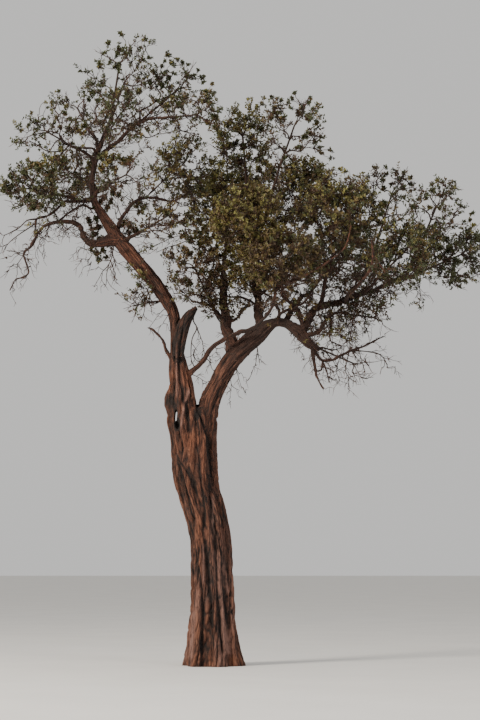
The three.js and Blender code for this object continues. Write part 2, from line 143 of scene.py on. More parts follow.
def meshPiece(name, corners, faces, smooth=True):  # faces: an array with one row of corners for each face
    mesh = bpy.data.meshes.new(name)
    mesh.vertices.add(len(corners))
    mesh.vertices.foreach_set("co", np.asarray(corners, np.float32).ravel())
    mesh.loops.add(faces.size)
    mesh.loops.foreach_set("vertex_index", faces.astype(np.int32).ravel())
    mesh.polygons.add(len(faces))
    mesh.polygons.foreach_set("loop_start", np.arange(0, faces.size, faces.shape[1], dtype=np.int32))
    mesh.update(calc_edges=True)
    mesh.validate()
    mesh.polygons.foreach_set("use_smooth", np.full(len(mesh.polygons), smooth))
    piece = bpy.data.objects.new(name, mesh)
    bpy.context.collection.objects.link(piece)
    return piece


def meshArray(items, field, width=1, kind=float):  # one value of every vertex, corner or face
    values = np.empty(len(items) * width, kind)
    items.foreach_get(field, values)
    return values.reshape(-1, width) if width > 1 else values


def only(piece):  # the one selected and active object
    bpy.ops.object.select_all(action="DESELECT")
    piece.select_set(True)
    bpy.context.view_layer.objects.active = piece


def applyModifier(piece, kind, **settings):
    bpy.ops.object.modifier_add(type=kind)
    modifier = piece.modifiers[-1]
    for key, value in settings.items():
        setattr(modifier, key, value)
    bpy.ops.object.modifier_apply(modifier=modifier.name)


# Trunk, in millimetres: height, lean to the right, lean away, half width, half depth. The last two rings
# round it off inside the fork.
trunkValues = {
    "stations": [
        [0, 5, 0, 470, 450],
        [220, -8, 0, 412, 398],
        [640, -12, 0, 360, 352],
        [1200, -12, 0, 334, 332],
        [1700, -35, 5, 322, 318],
        [2200, -90, 10, 328, 310],
        [2600, -206, 15, 347, 306],
        [2790, -262, 15, 345, 303],
        [3000, -297, 15, 353, 300],
        [3450, -322, 10, 340, 280],
        [3700, -340, 0, 374, 272],
        [3860, -352, 0, 404, 262],
        [3960, -368, 0, 352, 215],
        [4020, -380, 0, 236, 130],
    ],
    "flutes": {"count": 6, "depth": 0.05, "footDepth": 0.15, "footHeight": 450, "twist": 0.9, "second": 0.4,
               "secondTurn": 1.3, "top": 3960},
    "hollows": [  # the slot goes right through, and the hollow under it is blind
        {"at": (-592, 0, 3868), "half": (17, 700, 108), "lean": 0.05},
        {"at": (-574, -290, 3722), "half": (42, 190, 82), "lean": -0.1},
    ],
    "hollowSides": 32,
    "hollowRings": 20,
    "calmReach": 1.6,  # how far a hollow calms the relief, counted in its own half size
    "wallReach": 1.5,  # and how far its wall gets painted shade
    "wallFade": 0.4,
    "ease": 110,  # how far up and down one station runs into the next
    "easeSteps": 7,
    "sides": 96,
    "rings": 104,
    "buried": 60,  # how far the mesh runs on below ground before it is cut level
}

# Furrows and hollows seen on the front of the trunk, in millimetres: places across and up, depth, half width.
# They part the great strands, and are darkened with painted shade.
furrowValues = {
    "stub": ([[-445, 5575], [-540, 5415], [-600, 5225], [-655, 4990], [-680, 4780]], 26, 15),
    "fork": ([[-240, 4000], [-205, 3879], [-126, 3649], [-59, 3512], [-43, 3289], [-21, 3057], [-18, 2825],
        [-22, 2624], [-34, 2224], [36, 1756], [63, 1289], [63, 1044], [122, 579], [158, 177]], 62, 34),
    "slot": ([[-586, 3816], [-539, 3630], [-500, 3351], [-476, 3227]], 34, 24),
    "left": ([[-584, 3165], [-553, 3057], [-475, 2825], [-397, 2609], [-319, 2347], [-342, 1917],
        [-293, 1702], [-240, 1396], [-197, 1059], [-173, 815], [-169, 465], [-146, 161]], 52, 27),
    "middle": ([[-276, 3475], [-229, 3243], [-197, 2933], [-166, 2671], [-150, 2393], [-165, 2086],
        [-118, 1779], [-86, 1396], [-70, 1014], [-39, 557]], 26, 20),
    "right": ([[5, 2239], [82, 2015], [157, 1641], [181, 1380], [191, 1014], [253, 557]], 40, 24),
    "knot": ([[-635, 4408], [-627, 4283], [-642, 4159], [-665, 4034], [-633, 3910]], 36, 20),
    "leaderLeft": ([[-552, 5347], [-621, 4886], [-595, 4471], [-619, 4315]], 22, 18),
    "leaderRight": ([[-467, 5316], [-505, 5116], [-550, 4658], [-515, 4377], [-463, 4159], [-416, 3863],
        [-384, 3553]], 40, 24),
    "edge": ([[-624, 3475], [-600, 3289], [-553, 3150], [-460, 3041], [-383, 2949], [-321, 2825],
        [-274, 2624]], 26, 20),
}
hollowValues = [  # across, up, half width, half height, depth
    (-673, 4149, 34, 30, 34), (-656, 4040, 30, 90, 44), (-492, 3351, 26, 34, 40), (-606, 4010, 22, 90, 40),
    (-485, 4150, 20, 90, 46), (-634, 4300, 18, 80, 40), (-404, 3930, 24, 170, 34), (-252, 3905, 46, 150, 56),
    (-152, 900, 20, 130, 60), (-30, 560, 24, 240, 34), (278, 1089, 18, 34, 40), (283, 829, 18, 40, 44),
]
ropeValues = {  # strands that stand out: places, rise, half width
    "right": ([[-394, 4319], [-406, 4210], [-418, 4132], [-457, 4038], [-477, 3945], [-495, 3811],
        [-510, 3633], [-494, 3462]], 40, 24),
    "middle": ([[-590, 4900], [-584, 4720], [-587, 4538], [-581, 4381], [-577, 4241], [-558, 4100],
        [-522, 3929], [-512, 3820]], 34, 18),
    "left": ([[-706, 4288], [-745, 4147], [-750, 4023], [-697, 3898], [-627, 3758], [-590, 3602],
        [-548, 3400]], 32, 24),
}
paleValues = {  # strips of bare weathered wood: places, half width
    "broad": ([[36, 1810], [59, 1595], [82, 1319], [121, 1013], [175, 707], [206, 402], [222, 120]], 74),
    "narrow": ([[-153, 1900], [-152, 1625], [-156, 1200]], 26),
    "outer": ([[167, 1690], [213, 1349], [237, 1060]], 24),
    "upper": ([[4, 2640], [-11, 2240], [12, 1880]], 26),
    "foot": ([[-300, 900], [-330, 500], [-360, 60]], 40),
    "rope": ([[-394, 4319], [-418, 4132], [-477, 3945], [-510, 3633]], 20),
    "rib": ([[-590, 4900], [-584, 4720], [-587, 4538], [-577, 4241], [-558, 4100]], 17),
}

# Boughs, in millimetres: the places each passes, its radius from foot to tip, and the mass it runs into
# where that has another name
boughValues = {
    "left_leader": {
        "by": [[-505, 0, 3860], [-526, 0, 4075], [-520, 0, 4340], [-565, 0, 4640], [-590, 0, 4910],
               [-600, 0, 5225], [-645, 0, 5495], [-755, 0, 5700], [-955, 0, 5985], [-1190, 0, 6265],
               [-1380, 0, 6495], [-1540, 0, 6705], [-1745, 0, 7015], [-1890, 0, 7250], [-1935, 20, 7460],
               [-1925, 30, 7750], [-1865, 50, 8030], [-1775, 70, 8310], [-1650, 100, 8640]],
        "girth": [225, 257, 208, 170, 122, 107, 100, 114, 126, 130, 132, 124, 90, 66, 52, 46, 42, 38, 32, 24],
        "into": "top", "steps": 19, "straight": True,
    },
    "right_bough": {
        "by": [[-100, 0, 3860], [-66, 0, 4090], [65, 0, 4370], [185, 0, 4610], [355, 0, 4845], [545, 0, 5035],
               [705, 0, 5170], [845, 0, 5290], [970, 0, 5345], [1100, 0, 5340], [1210, 0, 5295]],
        "girth": [165, 174, 150, 154, 156, 162, 158, 118, 82, 80, 96], "steps": 10, "straight": True,
    },
    "bare_right": {
        "by": [[1210, 0, 5295], [1335, 0, 5195], [1430, 0, 5090], [1505, 0, 4995]],
        "girth": [96, 104, 98, 78, 38], "steps": 4, "straight": True,
    },
    "cross": {
        "by": [[-470, -40, 4440], [-330, -75, 4580], [-180, -110, 4740], [-10, -140, 4925],
               [205, -190, 5095], [405, -260, 5170], [590, -380, 5210], [775, -700, 5315],
               [895, -1050, 5500]],
        "girth": [54, 44, 37, 34, 22], "into": "front_low", "steps": 9,
    },
    "back_centre": {
        "by": [[310, 50, 4900], [230, 110, 5175], [190, 140, 5335], [185, 180, 5500], [170, 270, 5750],
               [140, 480, 6120], [165, 850, 6545]],
        "girth": [90, 84, 60, 46, 26], "steps": 8,
    },
    "low_centre": {"by": [[185, 150, 5385], [85, 130, 5465], [0, 60, 5555]], "girth": [44, 34, 22]},
    "high_centre": {
        "by": [[690, 30, 5130], [715, 110, 5365], [715, 170, 5625], [660, 230, 5925], [645, 300, 6300],
               [600, 350, 6795], [535, 400, 7370]],
        "girth": [82, 76, 66, 48, 26], "steps": 8,
    },
    "front_centre": {"by": [[660, 270, 6150], [625, -100, 6310], [590, -480, 6440]], "girth": [36, 28, 20]},
    "high_right": {"by": [[645, 305, 6350], [755, 200, 6850], [880, 50, 7385]], "girth": [44, 34, 22]},
    "centre_right": {"by": [[675, 220, 5850], [820, 330, 6225], [1015, 520, 6740]], "girth": [46, 36, 22]},
    "back_right": {"by": [[1115, 0, 5335], [1245, 250, 5590], [1500, 700, 5920]], "girth": [52, 38, 22]},
    "right_high": {
        "by": [[1350, 0, 5175], [1415, 10, 5260], [1470, 20, 5360], [1520, 40, 5495], [1615, 60, 5575],
               [1775, 90, 5620], [1935, 120, 5650], [2040, 150, 5720], [2255, 200, 5925],
               [2425, 300, 6220], [2550, 400, 6525]],
        "girth": [72, 68, 66, 60, 40, 30, 20], "steps": 12,
    },
    "front_right": {"by": [[1670, 70, 5595], [1710, -150, 5790], [1775, -400, 6090]], "girth": [40, 30, 20]},
    "right_low_back": {"by": [[1875, 105, 5635], [1985, 290, 5690]], "girth": [34, 26, 20], "steps": 4},
    "right_hanging": {
        "by": [[1400, 0, 5120], [1585, -40, 5190], [1710, -80, 5295], [1800, -110, 5425],
               [1960, -150, 5475]],
        "girth": [44, 36, 28, 20], "steps": 6,
    },
    "right_front": {"by": [[1955, 130, 5660], [2165, -100, 5735], [2395, -420, 5830]], "girth": [42, 34, 22]},
    "far_right": {
        "by": [[2040, 150, 5720], [2245, 170, 5785], [2500, 200, 5885], [2790, 230, 6005],
               [3110, 260, 6110]],
        "girth": [46, 38, 32, 22],
    },
    "right_tip_high": {"by": [[3030, 255, 6080], [3150, 150, 6330]], "girth": [34, 28, 20]},
    "low_centre_left": {"by": [[-1425, -10, 6560], [-1330, -60, 6680]], "girth": [36, 28, 20], "steps": 4},
    "centre_left": {
        "by": [[-1530, 0, 6690], [-1505, 20, 6945], [-1455, 50, 7065], [-1310, 120, 7265],
               [-1145, 180, 7350]],
        "girth": [48, 38, 22, 14], "steps": 7,
    },
    "bare_left": {
        "by": [[-1600, 0, 6700], [-1735, -80, 6620], [-1890, -130, 6585], [-1990, -180, 6610],
               [-2065, -220, 6720], [-2145, -250, 6830], [-2220, -270, 6860], [-2380, -300, 6875],
               [-2565, -340, 6840], [-2685, -370, 6785]],
        "girth": [78, 60, 47, 37, 28, 19], "steps": 11,
    },
    "far_left": {"by": [[-1935, 0, 7310], [-2075, -60, 7285], [-2225, -130, 7305]], "girth": [46, 34, 22]},
    "left_low": {"by": [[-1900, 5, 7350], [-1830, -150, 7440]], "girth": [34, 26, 20], "steps": 4},
    "left_mid": {"by": [[-1930, 20, 7495], [-2030, 220, 7585]], "girth": [40, 30, 20], "steps": 4},
    "upper_right": {
        "by": [[-1900, 50, 7950], [-1695, 120, 8125], [-1450, 220, 8355], [-1250, 330, 8595]],
        "girth": [46, 38, 30, 20], "steps": 6,
    },
    "inner_right": {"by": [[-1250, 330, 8595], [-1030, 150, 8640]], "girth": [30, 25, 20], "steps": 4},
    "left_heart": {"by": [[-1820, 60, 8175], [-1745, -170, 8230]], "girth": [34, 26, 20], "steps": 4},
    "left_high": {"by": [[-1895, 40, 7900], [-2010, -20, 8010]], "girth": [42, 30, 20], "steps": 4},
    "back_left": {"by": [[-1835, 60, 8130], [-1930, 250, 8315]], "girth": [36, 28, 20], "steps": 4},
    "leader_left": {"by": [[-760, 0, 5700], [-870, 20, 5690]], "girth": [26, 22, 18], "steps": 3},
}
snagValues = {
    "stub": {
        "by": [[-560, -90, 4790], [-545, -125, 4975], [-512, -145, 5160], [-452, -155, 5330],
               [-365, -152, 5460], [-272, -146, 5565]],
        "girth": [98, 108, 112, 104, 82, 38],
    },
    "knot": {"by": [[-1470, 0, 6650], [-1600, -40, 6645], [-1740, -85, 6605], [-1880, -128, 6580]],
             "girth": [122, 108, 84, 46]},
    "twig": {
        "by": [[-645, 0, 4720], [-755, -40, 4935], [-800, -50, 5030], [-955, -90, 5205],
               [-1030, -100, 5245]],
        "girth": [36, 31, 26, 22, 15],
    },
}

# The rule that the solids grow by, in millimetres
rule = {
    "seatGap": 0.3, "kink": 0.14, "goldenTurn": math.pi * (3 - math.sqrt(5)), "leafyShoots": 7,
    "bareShoots": 12, "neck": 0.38, "widest": 0.72, "sprayWidth": 320, "sprayThickness": 12,
    "stemStart": 60, "stemSteps": 2, "tipRadius": 10, "spaceMargin": 6, "endMargin": 4,
    "boughTip": 0.92, "leafyEnds": (0.93, 0.98), "bareEnds": (0.7, 0.98), "sizes": (0.85, 1.15),
    "turnStray": 0.6, "stemLiking": 0.4, "boughSteps": 5, "snagSteps": 5, "nameSeed": 31, "measureSteps": 200,
}


# Spaces of the masses, each an egg cut flat halfway to each neighbour

def componentDivide(a, b):
    return Vector((a.x / b.x, a.y / b.y, a.z / b.z))


class Space:
    def __init__(self, middle, spread, full, dim=0, bare=False):
        self.middle = Vector(middle)
        self.spread = Vector(spread)
        self.full = full
        self.dim = dim
        self.bare = bare
        self.walls = []

    def eggReach(self, direction):
        return 1 / componentDivide(direction, self.spread).length

    def addWalls(self, spaces):
        for other in spaces:
            if other is self:
                continue
            apart = other.middle - self.middle
            direction = apart.normalized()
            own = self.eggReach(direction)
            self.walls.append((direction, apart.length * own / (own + other.eggReach(direction))))

    def reach(self, direction, ease=1):  # how far the space goes; ease lets leaves mingle with a neighbour's
        facing = [(wall, distance) for wall, distance in self.walls if direction.dot(wall) > 1e-9]
        walls = [distance / direction.dot(wall) * ease for wall, distance in facing]
        return min([self.eggReach(direction)] + walls) - rule["spaceMargin"]

    def holds(self, point, margin):
        place = point - self.middle
        if componentDivide(place, self.spread).length > 1:
            return False
        return all(place.dot(wall) < distance - margin for wall, distance in self.walls)


# In millimetres: the middle of each mass's space, how far it spreads, how full its leaves are, and how much
# darker than the others, set from how bright each mass is seen: painted shade above zero, painted light below
spaces = {
    "top": Space((-1530, 150, 9490), (520, 600, 590), 0.15, 0.18),
    "upper_right": Space((-570, 600, 9240), (580, 660, 540), 0.12, 0.18),
    "left_high": Space((-2590, -350, 8300), (540, 640, 440), 0.12, 0.16),
    "back_left": Space((-2270, 1100, 9020), (540, 640, 460), 0.3, 0.16),
    "left_heart": Space((-1480, -950, 8400), (540, 620, 480), 0.6, 0.1),
    "far_left": Space((-2850, -450, 7400), (540, 660, 470), 0.75, 0.14),
    "left_mid": Space((-2320, 900, 7890), (540, 660, 450), 0.8),
    "left_low": Space((-1360, -720, 7560), (540, 620, 440), 0.4),
    "inner_right": Space((-280, -300, 8600), (520, 680, 440), 0.45, -0.05),
    "centre_left": Space((-520, 400, 7940), (580, 680, 520), 0.8, -0.24),
    "low_centre_left": Space((-690, -600, 6950), (600, 660, 430), 0.35),
    "low_centre": Space((-300, -380, 6150), (570, 640, 520), 0.6, 0.05),
    "back_centre": Space((230, 1600, 7600), (720, 760, 640), 2.6, -0.24),
    "front_centre": Space((540, -1150, 6760), (660, 700, 600), 2.5, -0.02),
    "high_centre": Space((450, 500, 8420), (620, 740, 560), 0.85, -0.2),
    "high_right": Space((1260, -320, 8420), (620, 720, 560), 0.5, 0.2),
    "centre_right": Space((1420, 900, 7620), (660, 740, 600), 2.0),
    "front_low": Space((1060, -1550, 6090), (680, 700, 560), 1.9, 0.15),
    "front_right": Space((1960, -1050, 6990), (650, 720, 600), 1.9),
    "back_right": Space((2160, 1650, 6680), (700, 760, 600), 1.4, 0.1),
    "right_high": Space((2860, 750, 7520), (580, 680, 570), 0.5, 0.1),
    "right_tip_high": Space((3480, -300, 7120), (560, 660, 520), 0.5, 0.1),
    "right_front": Space((2900, -1150, 6280), (640, 700, 560), 1.15, 0.1),
    "far_right": Space((3940, 350, 6480), (620, 760, 580), 0.85, 0.08),
    "right_low_back": Space((2500, 950, 5990), (560, 640, 400), 0.4, 0.25),
    "right_hanging": Space((2480, -350, 5380), (420, 520, 380), 0.15, 0.25),
    "leader_left": Space((-1190, 100, 5640), (270, 340, 340), 0.02, 0.45),
    "bare_left": Space((-3040, -500, 6210), (330, 380, 460), 0.35, bare=True),
    "bare_right": Space((2170, -30, 4700), (640, 460, 480), 0.6, bare=True),
}
for space in spaces.values():
    space.addWalls(spaces.values())


# Lines of the limbs, as the solids have them

def boughLine(name, values):
    line = [Vector(place) for place in values["by"]]
    space = spaces.get(values.get("into", name))
    if space:
        inward = (line[-1] - space.middle).normalized()
        line.append(space.middle + inward * space.reach(inward) * rule["boughTip"])
    steps = values.get("steps", rule["boughSteps"])
    points = smoothLine(line, steps)
    if values.get("straight"):
        return points
    draw = seeded(len(name) * rule["nameSeed"] + len(values["by"]) + steps)
    stray = rule["kink"] * lineLength(smoothLine(line, rule["measureSteps"])) / steps
    for i in range(2, steps - 1):
        points[i] += strayVector(draw) * stray
    return points


limbStep = 0.03  # metres between the points of a limb's line


class Limb:  # a limb's line in metres, in short even steps, with its radius and the directions across it
    def __init__(self, name, points, girth):
        self.name = name
        self.corners = points
        share = [i / (len(points) - 1) for i in range(len(points))]
        radii = [Vector((alongList(girth, s), 0, 0)) for s in share]
        count = max(4, round(lineLength(points) * mm / limbStep))
        self.points = [p * mm for p in smoothLine(points, count)]
        self.radii = [r.x * mm for r in smoothLine(radii, count)]
        self.frames = lineFrames(self.points)
        self.runs = [0.0]
        for a, b in zip(self.points, self.points[1:]):
            self.runs.append(self.runs[-1] + (b - a).length)

    def asArrays(self):
        across, beside, forward = (np.array([f[k] for f in self.frames]) for k in range(3))
        return np.array(self.points), np.array(self.radii), across, beside, forward, np.array(self.runs)


limbs = {}
for name, values in boughValues.items():
    limbs[name] = Limb(name, boughLine(name, values), values["girth"])
for name, values in snagValues.items():
    snagLine = smoothLine([Vector(place) for place in values["by"]], rule["snagSteps"])
    limbs[name] = Limb(name, snagLine, values["girth"])
print("limbs laid out:", len(limbs))


# Relief of the bark. Narrow furrows part flat-topped strands that run along each limb, cross and part again;
# each layer is finer than the one before it.
reliefValues = {
    "wander": {"across": 2.6, "along": 1.0, "height": 0.05, "apart": (31, 17, 5)},
    "layers": [
        {"across": 5.2, "along": 0.28, "height": 0.044, "edge": 2.6, "shade": 0.35},
        {"across": 14.0, "along": 0.7, "height": 0.036, "edge": 2.6, "shade": 0.62},
        {"across": 36.0, "along": 4.6, "height": 0.020, "edge": 2.4, "shade": 0.50},
    ],
    "mean": 0.84,  # of a layer's height, so that the limb keeps its girth
    "steep": 0.7,
    "twist": 0.25,  # turn in radians a metre
    "fullRadius": 0.33,  # where the relief has its full height
    "most": 1.12,  # how much more it may have on thicker ones
    "fade": 0.65,  # how fast it falls on thinner limbs
    "narrowing": 0.6,  # how far the strands draw together where a limb gets thinner
}


def barkAt(x, y, run, radius):  # the bark's height in metres, and its tone from furrow, 0, to ridge, 1
    values = reliefValues
    wander = values["wander"]
    turn = values["twist"] * run
    x, y = x * math.cos(turn) - y * math.sin(turn), x * math.sin(turn) + y * math.cos(turn)
    slow = Vector((x * wander["across"], y * wander["across"], run * wander["along"]))
    x += noise.noise(slow) * wander["height"]
    y += noise.noise(slow + Vector(wander["apart"])) * wander["height"]
    height = 0.0
    tone = 1.0
    for layer in values["layers"]:
        cell = Vector((x * layer["across"], y * layer["across"], run * layer["along"] + layer["across"]))
        rise = min(abs(noise.noise(cell)) * layer["edge"], 1) ** values["steep"]
        height += layer["height"] * (rise - values["mean"])
        # painted shade: the tone is darker down in each layer's furrows
        tone *= 1 - layer["shade"] * (1 - rise)
    return height * min(radius / values["fullRadius"], values["most"]) ** values["fade"], tone


# Great limbs: curves with a round section, the trunk from extruded rings, all made one skin

def trunkSection(height):  # the stations, run into each other
    stations = np.array(trunkValues["stations"], float)
    heights = height + np.linspace(-1, 1, trunkValues["easeSteps"]) * trunkValues["ease"]
    return [float(np.interp(heights, stations[:, 0], column).mean()) for column in stations[:, 1:].T]


def fluteAt(angle, height):
    flutes = trunkValues["flutes"]
    foot = math.exp(-max(height, 0) / flutes["footHeight"])
    depth = flutes["depth"] + (flutes["footDepth"] - flutes["depth"]) * foot
    turned = angle * flutes["count"] + flutes["twist"] * height / flutes["top"]
    return 1 + depth * (math.sin(turned) + flutes["second"] * math.sin(2 * turned + flutes["secondTurn"]))


def trunkBody():
    top = trunkValues["stations"][-1][0]
    low = -trunkValues["buried"]
    rise = (top - low) / trunkValues["rings"]
    bpy.ops.mesh.primitive_circle_add(vertices=trunkValues["sides"], radius=1, fill_type="NGON",
                                      location=(0, 0, low * mm))
    bpy.ops.object.transform_apply(location=True)
    trunk = bpy.context.object
    bpy.ops.object.mode_set(mode="EDIT")
    for _ in range(trunkValues["rings"]):
        bpy.ops.mesh.extrude_region_move(TRANSFORM_OT_translate={"value": (0, 0, rise * mm)})
    bpy.ops.object.mode_set(mode="OBJECT")
    for vertex in trunk.data.vertices:
        height = vertex.co.z / mm
        x, y, halfWidth, halfDepth = trunkSection(height)
        flute = fluteAt(math.atan2(-vertex.co.y, vertex.co.x), height)
        vertex.co.x = (x + vertex.co.x * halfWidth * flute) * mm
        vertex.co.y = (y + vertex.co.y * halfDepth * flute) * mm
    return trunk


def cutHollows(body):
    for hollow in trunkValues["hollows"]:
        bpy.ops.mesh.primitive_uv_sphere_add(
            segments=trunkValues["hollowSides"], ring_count=trunkValues["hollowRings"], radius=1,
            location=[v * mm for v in hollow["at"]], rotation=(0, hollow["lean"], 0))
        cutter = bpy.context.object
        cutter.scale = [v * mm for v in hollow["half"]]
        only(body)
        applyModifier(body, "BOOLEAN", operation="DIFFERENCE", object=cutter)
        bpy.data.objects.remove(cutter)


def hollowShares(places):  # where the hollows calm the relief, and where their walls get painted shade
    calm = np.zeros(len(places))
    wall = np.zeros(len(places))
    for hollow in trunkValues["hollows"]:
        away = np.linalg.norm((places / mm - hollow["at"]) / hollow["half"], axis=1)
        calm = np.maximum(calm, 1 / (1 + (away / trunkValues["calmReach"]) ** 4))
        wall = np.maximum(wall, np.clip((trunkValues["wallReach"] - away) / trunkValues["wallFade"], 0, 1))
    return calm, wall


def limbBody(limb):  # a curve with the limb's radius at each point, made a mesh
    curve = bpy.data.curves.new(limb.name, "CURVE")
    curve.dimensions = "3D"
    curve.bevel_depth = 1
    curve.bevel_resolution = greatValues["sectionSteps"]
    curve.use_fill_caps = True
    spline = curve.splines.new("POLY")
    spline.points.add(len(limb.points) - 1)
    for point, place, radius in zip(spline.points, limb.points, limb.radii):
        point.co = (*place, 1)
        point.radius = radius
    body = bpy.data.objects.new(limb.name, curve)
    bpy.context.collection.objects.link(body)
    only(body)
    bpy.ops.object.convert(target="MESH")
    return bpy.context.object


greatValues = {
    "limbs": ["left_leader", "right_bough", "bare_right", "stub", "knot"],
    "roots": {  # where the strands of a limb come up inside the trunk
        "left_leader": [[-425, 0, 3200], [-475, 0, 3530]],
        "right_bough": [[-160, 0, 3200], [-130, 0, 3530]],
    },
    "apart": 3.7,  # the other limbs' strands are this much further along the pattern each
    "trunkStep": 67,
    "sectionSteps": 6,
    "voxel": 0.0092,
    "smooth": 0.5,
    "smoothTurns": 5,
    "forkHeight": 4.02,
    "forkSpan": 0.2,
    "forkTurns": 70,
    "cuts": [2.1, 4.25],  # the heights where one piece of bark gives way to the next
    "pieces": ["lowTrunkBark", "highTrunkBark", "greatLimbBark"],
    "level": 1e-4,  # a face this near to a cut belongs to it
    "softness": 0.07,  # how gently the strands of one limb run over into the next's
    "leastWeight": 0.06,
    "endReach": 0.05,  # how far past its last point a limb still has its full girth
    "dim": {"stub": 0.5},  # the broken stub's tone is drawn this much darker
    "paleCalm": 0.5,  # bare wood has less relief, and its tone is drawn to one value
    "paleTone": 0.85,
    "paleShare": 0.6,
    # painted shade on the walls of the hollows
    "wallShade": 0.9,
}


def trunkLimb():  # the trunk's line, for the run of its strands
    heights = range(-trunkValues["buried"], trunkValues["flutes"]["top"] + 1, greatValues["trunkStep"])
    limb = Limb("trunk", [Vector((*trunkSection(height)[:2], height)) for height in heights], [1, 1])
    limb.radii = [sum(trunkSection(p.z / mm)[2:]) / 2 * mm for p in limb.points]
    return limb


def nearestPoint(limb, place):
    return min(range(len(limb.points)), key=lambda i: (limb.points[i] - place).length)


def strandCarriers():  # lines that the strands follow: a great limb's strands start well down in the trunk
    trunk = trunkLimb()
    carriers = [(trunk, (0, 0, 0), trunk.radii[-1])]
    for name in greatValues["limbs"]:
        limb = limbs[name]
        line = limb
        shift = (0, 0, len(carriers) * greatValues["apart"])
        if name in greatValues["roots"]:
            roots = [Vector(root) for root in greatValues["roots"][name]]
            near = nearestPoint(trunk, roots[0] * mm)
            away = roots[0] * mm - trunk.points[near]
            across, beside, _ = trunk.frames[near]
            shift = (away.dot(across), away.dot(beside), trunk.runs[near])
            line = Limb(name, roots + limb.corners, [1, 1])
            line.radii = [limb.radii[nearestPoint(limb, p)] for p in line.points]
        carriers.append((line, shift, limb.radii[0]))
    return carriers


# How far each place is from the limb's surface, and where among the limb's strands it lies
def nearLimb(carrier, places):
    limb, shift, base = carrier
    points, radii, across, beside, forward, runs = limb.asArrays()
    nearest = np.empty(len(places), np.int64)
    batch = 20000
    for start in range(0, len(places), batch):
        part = places[start:start + batch]
        nearest[start:start + batch] = ((part[:, None] - points[None]) ** 2).sum(2).argmin(1)
    offset = places - points[nearest]
    along = (offset * forward[nearest]).sum(1)
    x = (offset * across[nearest]).sum(1)
    y = (offset * beside[nearest]).sum(1)
    radius = radii[nearest]
    past = np.maximum(np.abs(along) - greatValues["endReach"], 0)
    distance = np.hypot(np.hypot(x, y), past) - radius
    draw = (base / radius) ** reliefValues["narrowing"]
    return distance, x * draw + shift[0], y * draw + shift[1], runs[nearest] + along + shift[2], radius


frontLook = {  # how the furrows, hollows, ropes and strips that are seen singly lie on the trunk
    "facing": 0.1,  # they are on faces that look this way or nearer
    "edge": 4,
    "fade": 90,  # at both ends of a line, in millimetres
    # furrows and hollows are darkened with painted shade
    "sway": 24, "swayScale": 0.006, "furrowShade": 0.78, "hollowShade": 0.9,
}


def lineShare(line, half, x, z):  # 1 on the middle of a line down the trunk, falling to both sides and ends
    look = frontLook
    line = np.array(line, float)[::-1]
    fades = np.clip((z - line[0, 1]) / look["fade"], 0, 1) * np.clip((line[-1, 1] - z) / look["fade"], 0, 1)
    places = [Vector((height * look["swayScale"], line[0, 0], 0)) for height in line[:, 1]]
    sway = np.array([noise.noise(place) * look["sway"] for place in places])
    middle = np.interp(z, line[:, 1], line[:, 0] + sway)
    return np.exp(-((x - middle) / half) ** 2) * fades


def frontFurrows(places, normals):  # depth, painted shade and bare wood of what shows singly on the front; ropes take the painted shade off
    depth = np.zeros(len(places))
    light = np.ones(len(places))
    rise = np.zeros(len(places))
    pale = np.zeros(len(places))
    front = np.clip((frontLook["facing"] - normals[:, 1]) * frontLook["edge"], 0, 1)
    x = places[:, 0] / mm
    z = places[:, 2] / mm
    for line, deep, half in furrowValues.values():
        share = lineShare(line, half, x, z) * front
        depth = np.maximum(depth, share * deep)
        light *= 1 - frontLook["furrowShade"] * share
    for across, height, halfWidth, halfHeight, deep in hollowValues:
        share = np.exp(-((x - across) / halfWidth) ** 2 - ((z - height) / halfHeight) ** 2) * front
        depth = np.maximum(depth, share * deep)
        light *= 1 - frontLook["hollowShade"] * share
    for line, high, half in ropeValues.values():
        share = lineShare(line, half, x, z) * front
        rise = np.maximum(rise, share * high)
        light += (1 - light) * share
    for line, half in paleValues.values():
        pale = np.maximum(pale, lineShare(line, half, x, z) * front)
    return (depth - rise) * mm, light, pale


def addRelief(piece):
    values = greatValues
    mesh = piece.data
    places = meshArray(mesh.vertices, "co", 3)
    normals = meshArray(mesh.vertices, "normal", 3)
    carriers = strandCarriers()
    found = [nearLimb(carrier, places) for carrier in carriers]
    distance = np.array([f[0] for f in found])
    weight = np.exp(-(distance - distance.min(0)) / values["softness"])
    weight[weight < values["leastWeight"]] = 0
    weight /= weight.sum(0)
    relief = np.zeros(len(places))
    tone = np.zeros(len(places))
    for share, (_, x, y, run, radius) in zip(weight, found):
        for i in np.flatnonzero(share):
            height, shade = barkAt(x[i], y[i], run[i], radius[i])
            relief[i] += share[i] * height
            tone[i] += share[i] * shade
    calm, wall = hollowShares(places)
    depth, light, pale = frontFurrows(places, normals)
    relief = (relief * (1 - values["paleCalm"] * pale) - depth) * (1 - calm)
    tone += (values["paleTone"] - tone) * pale * values["paleShare"]
    best = distance.argmin(0)
    tone *= np.array([values["dim"].get(limb.name, 1) for limb, _, _ in carriers])[best]
    pick = np.arange(len(places))
    grain = np.stack([np.array([f[j] for f in found])[best, pick] for j in (1, 2, 3)], 1)
    places += normals * relief[:, None]
    mesh.vertices.foreach_set("co", places.ravel())
    addAttribute(mesh, "grain", "FLOAT_VECTOR", grain)
    # the ridge tone carries painted shade in the furrows, in the hollows and on the hollow walls
    addAttribute(mesh, "ridge", "FLOAT", tone * light * (1 - values["wallShade"] * wall))
    addAttribute(mesh, "pale", "FLOAT", pale * (1 - wall))
    mesh.update()


def addAttribute(mesh, name, kind, values):
    field = "vector" if kind == "FLOAT_VECTOR" else "value"
    mesh.attributes.new(name, kind, "POINT").data.foreach_set(field, np.asarray(values, np.float32).ravel())


def levelCut(piece, height, keepAbove):  # cuts level, closes the cut, and keeps one side
    only(piece)
    bpy.ops.object.mode_set(mode="EDIT")
    bpy.ops.mesh.select_all(action="SELECT")
    bpy.ops.mesh.bisect(plane_co=(0, 0, height), plane_no=(0, 0, 1), use_fill=True,
                        clear_inner=keepAbove, clear_outer=not keepAbove)
    bpy.ops.object.mode_set(mode="OBJECT")


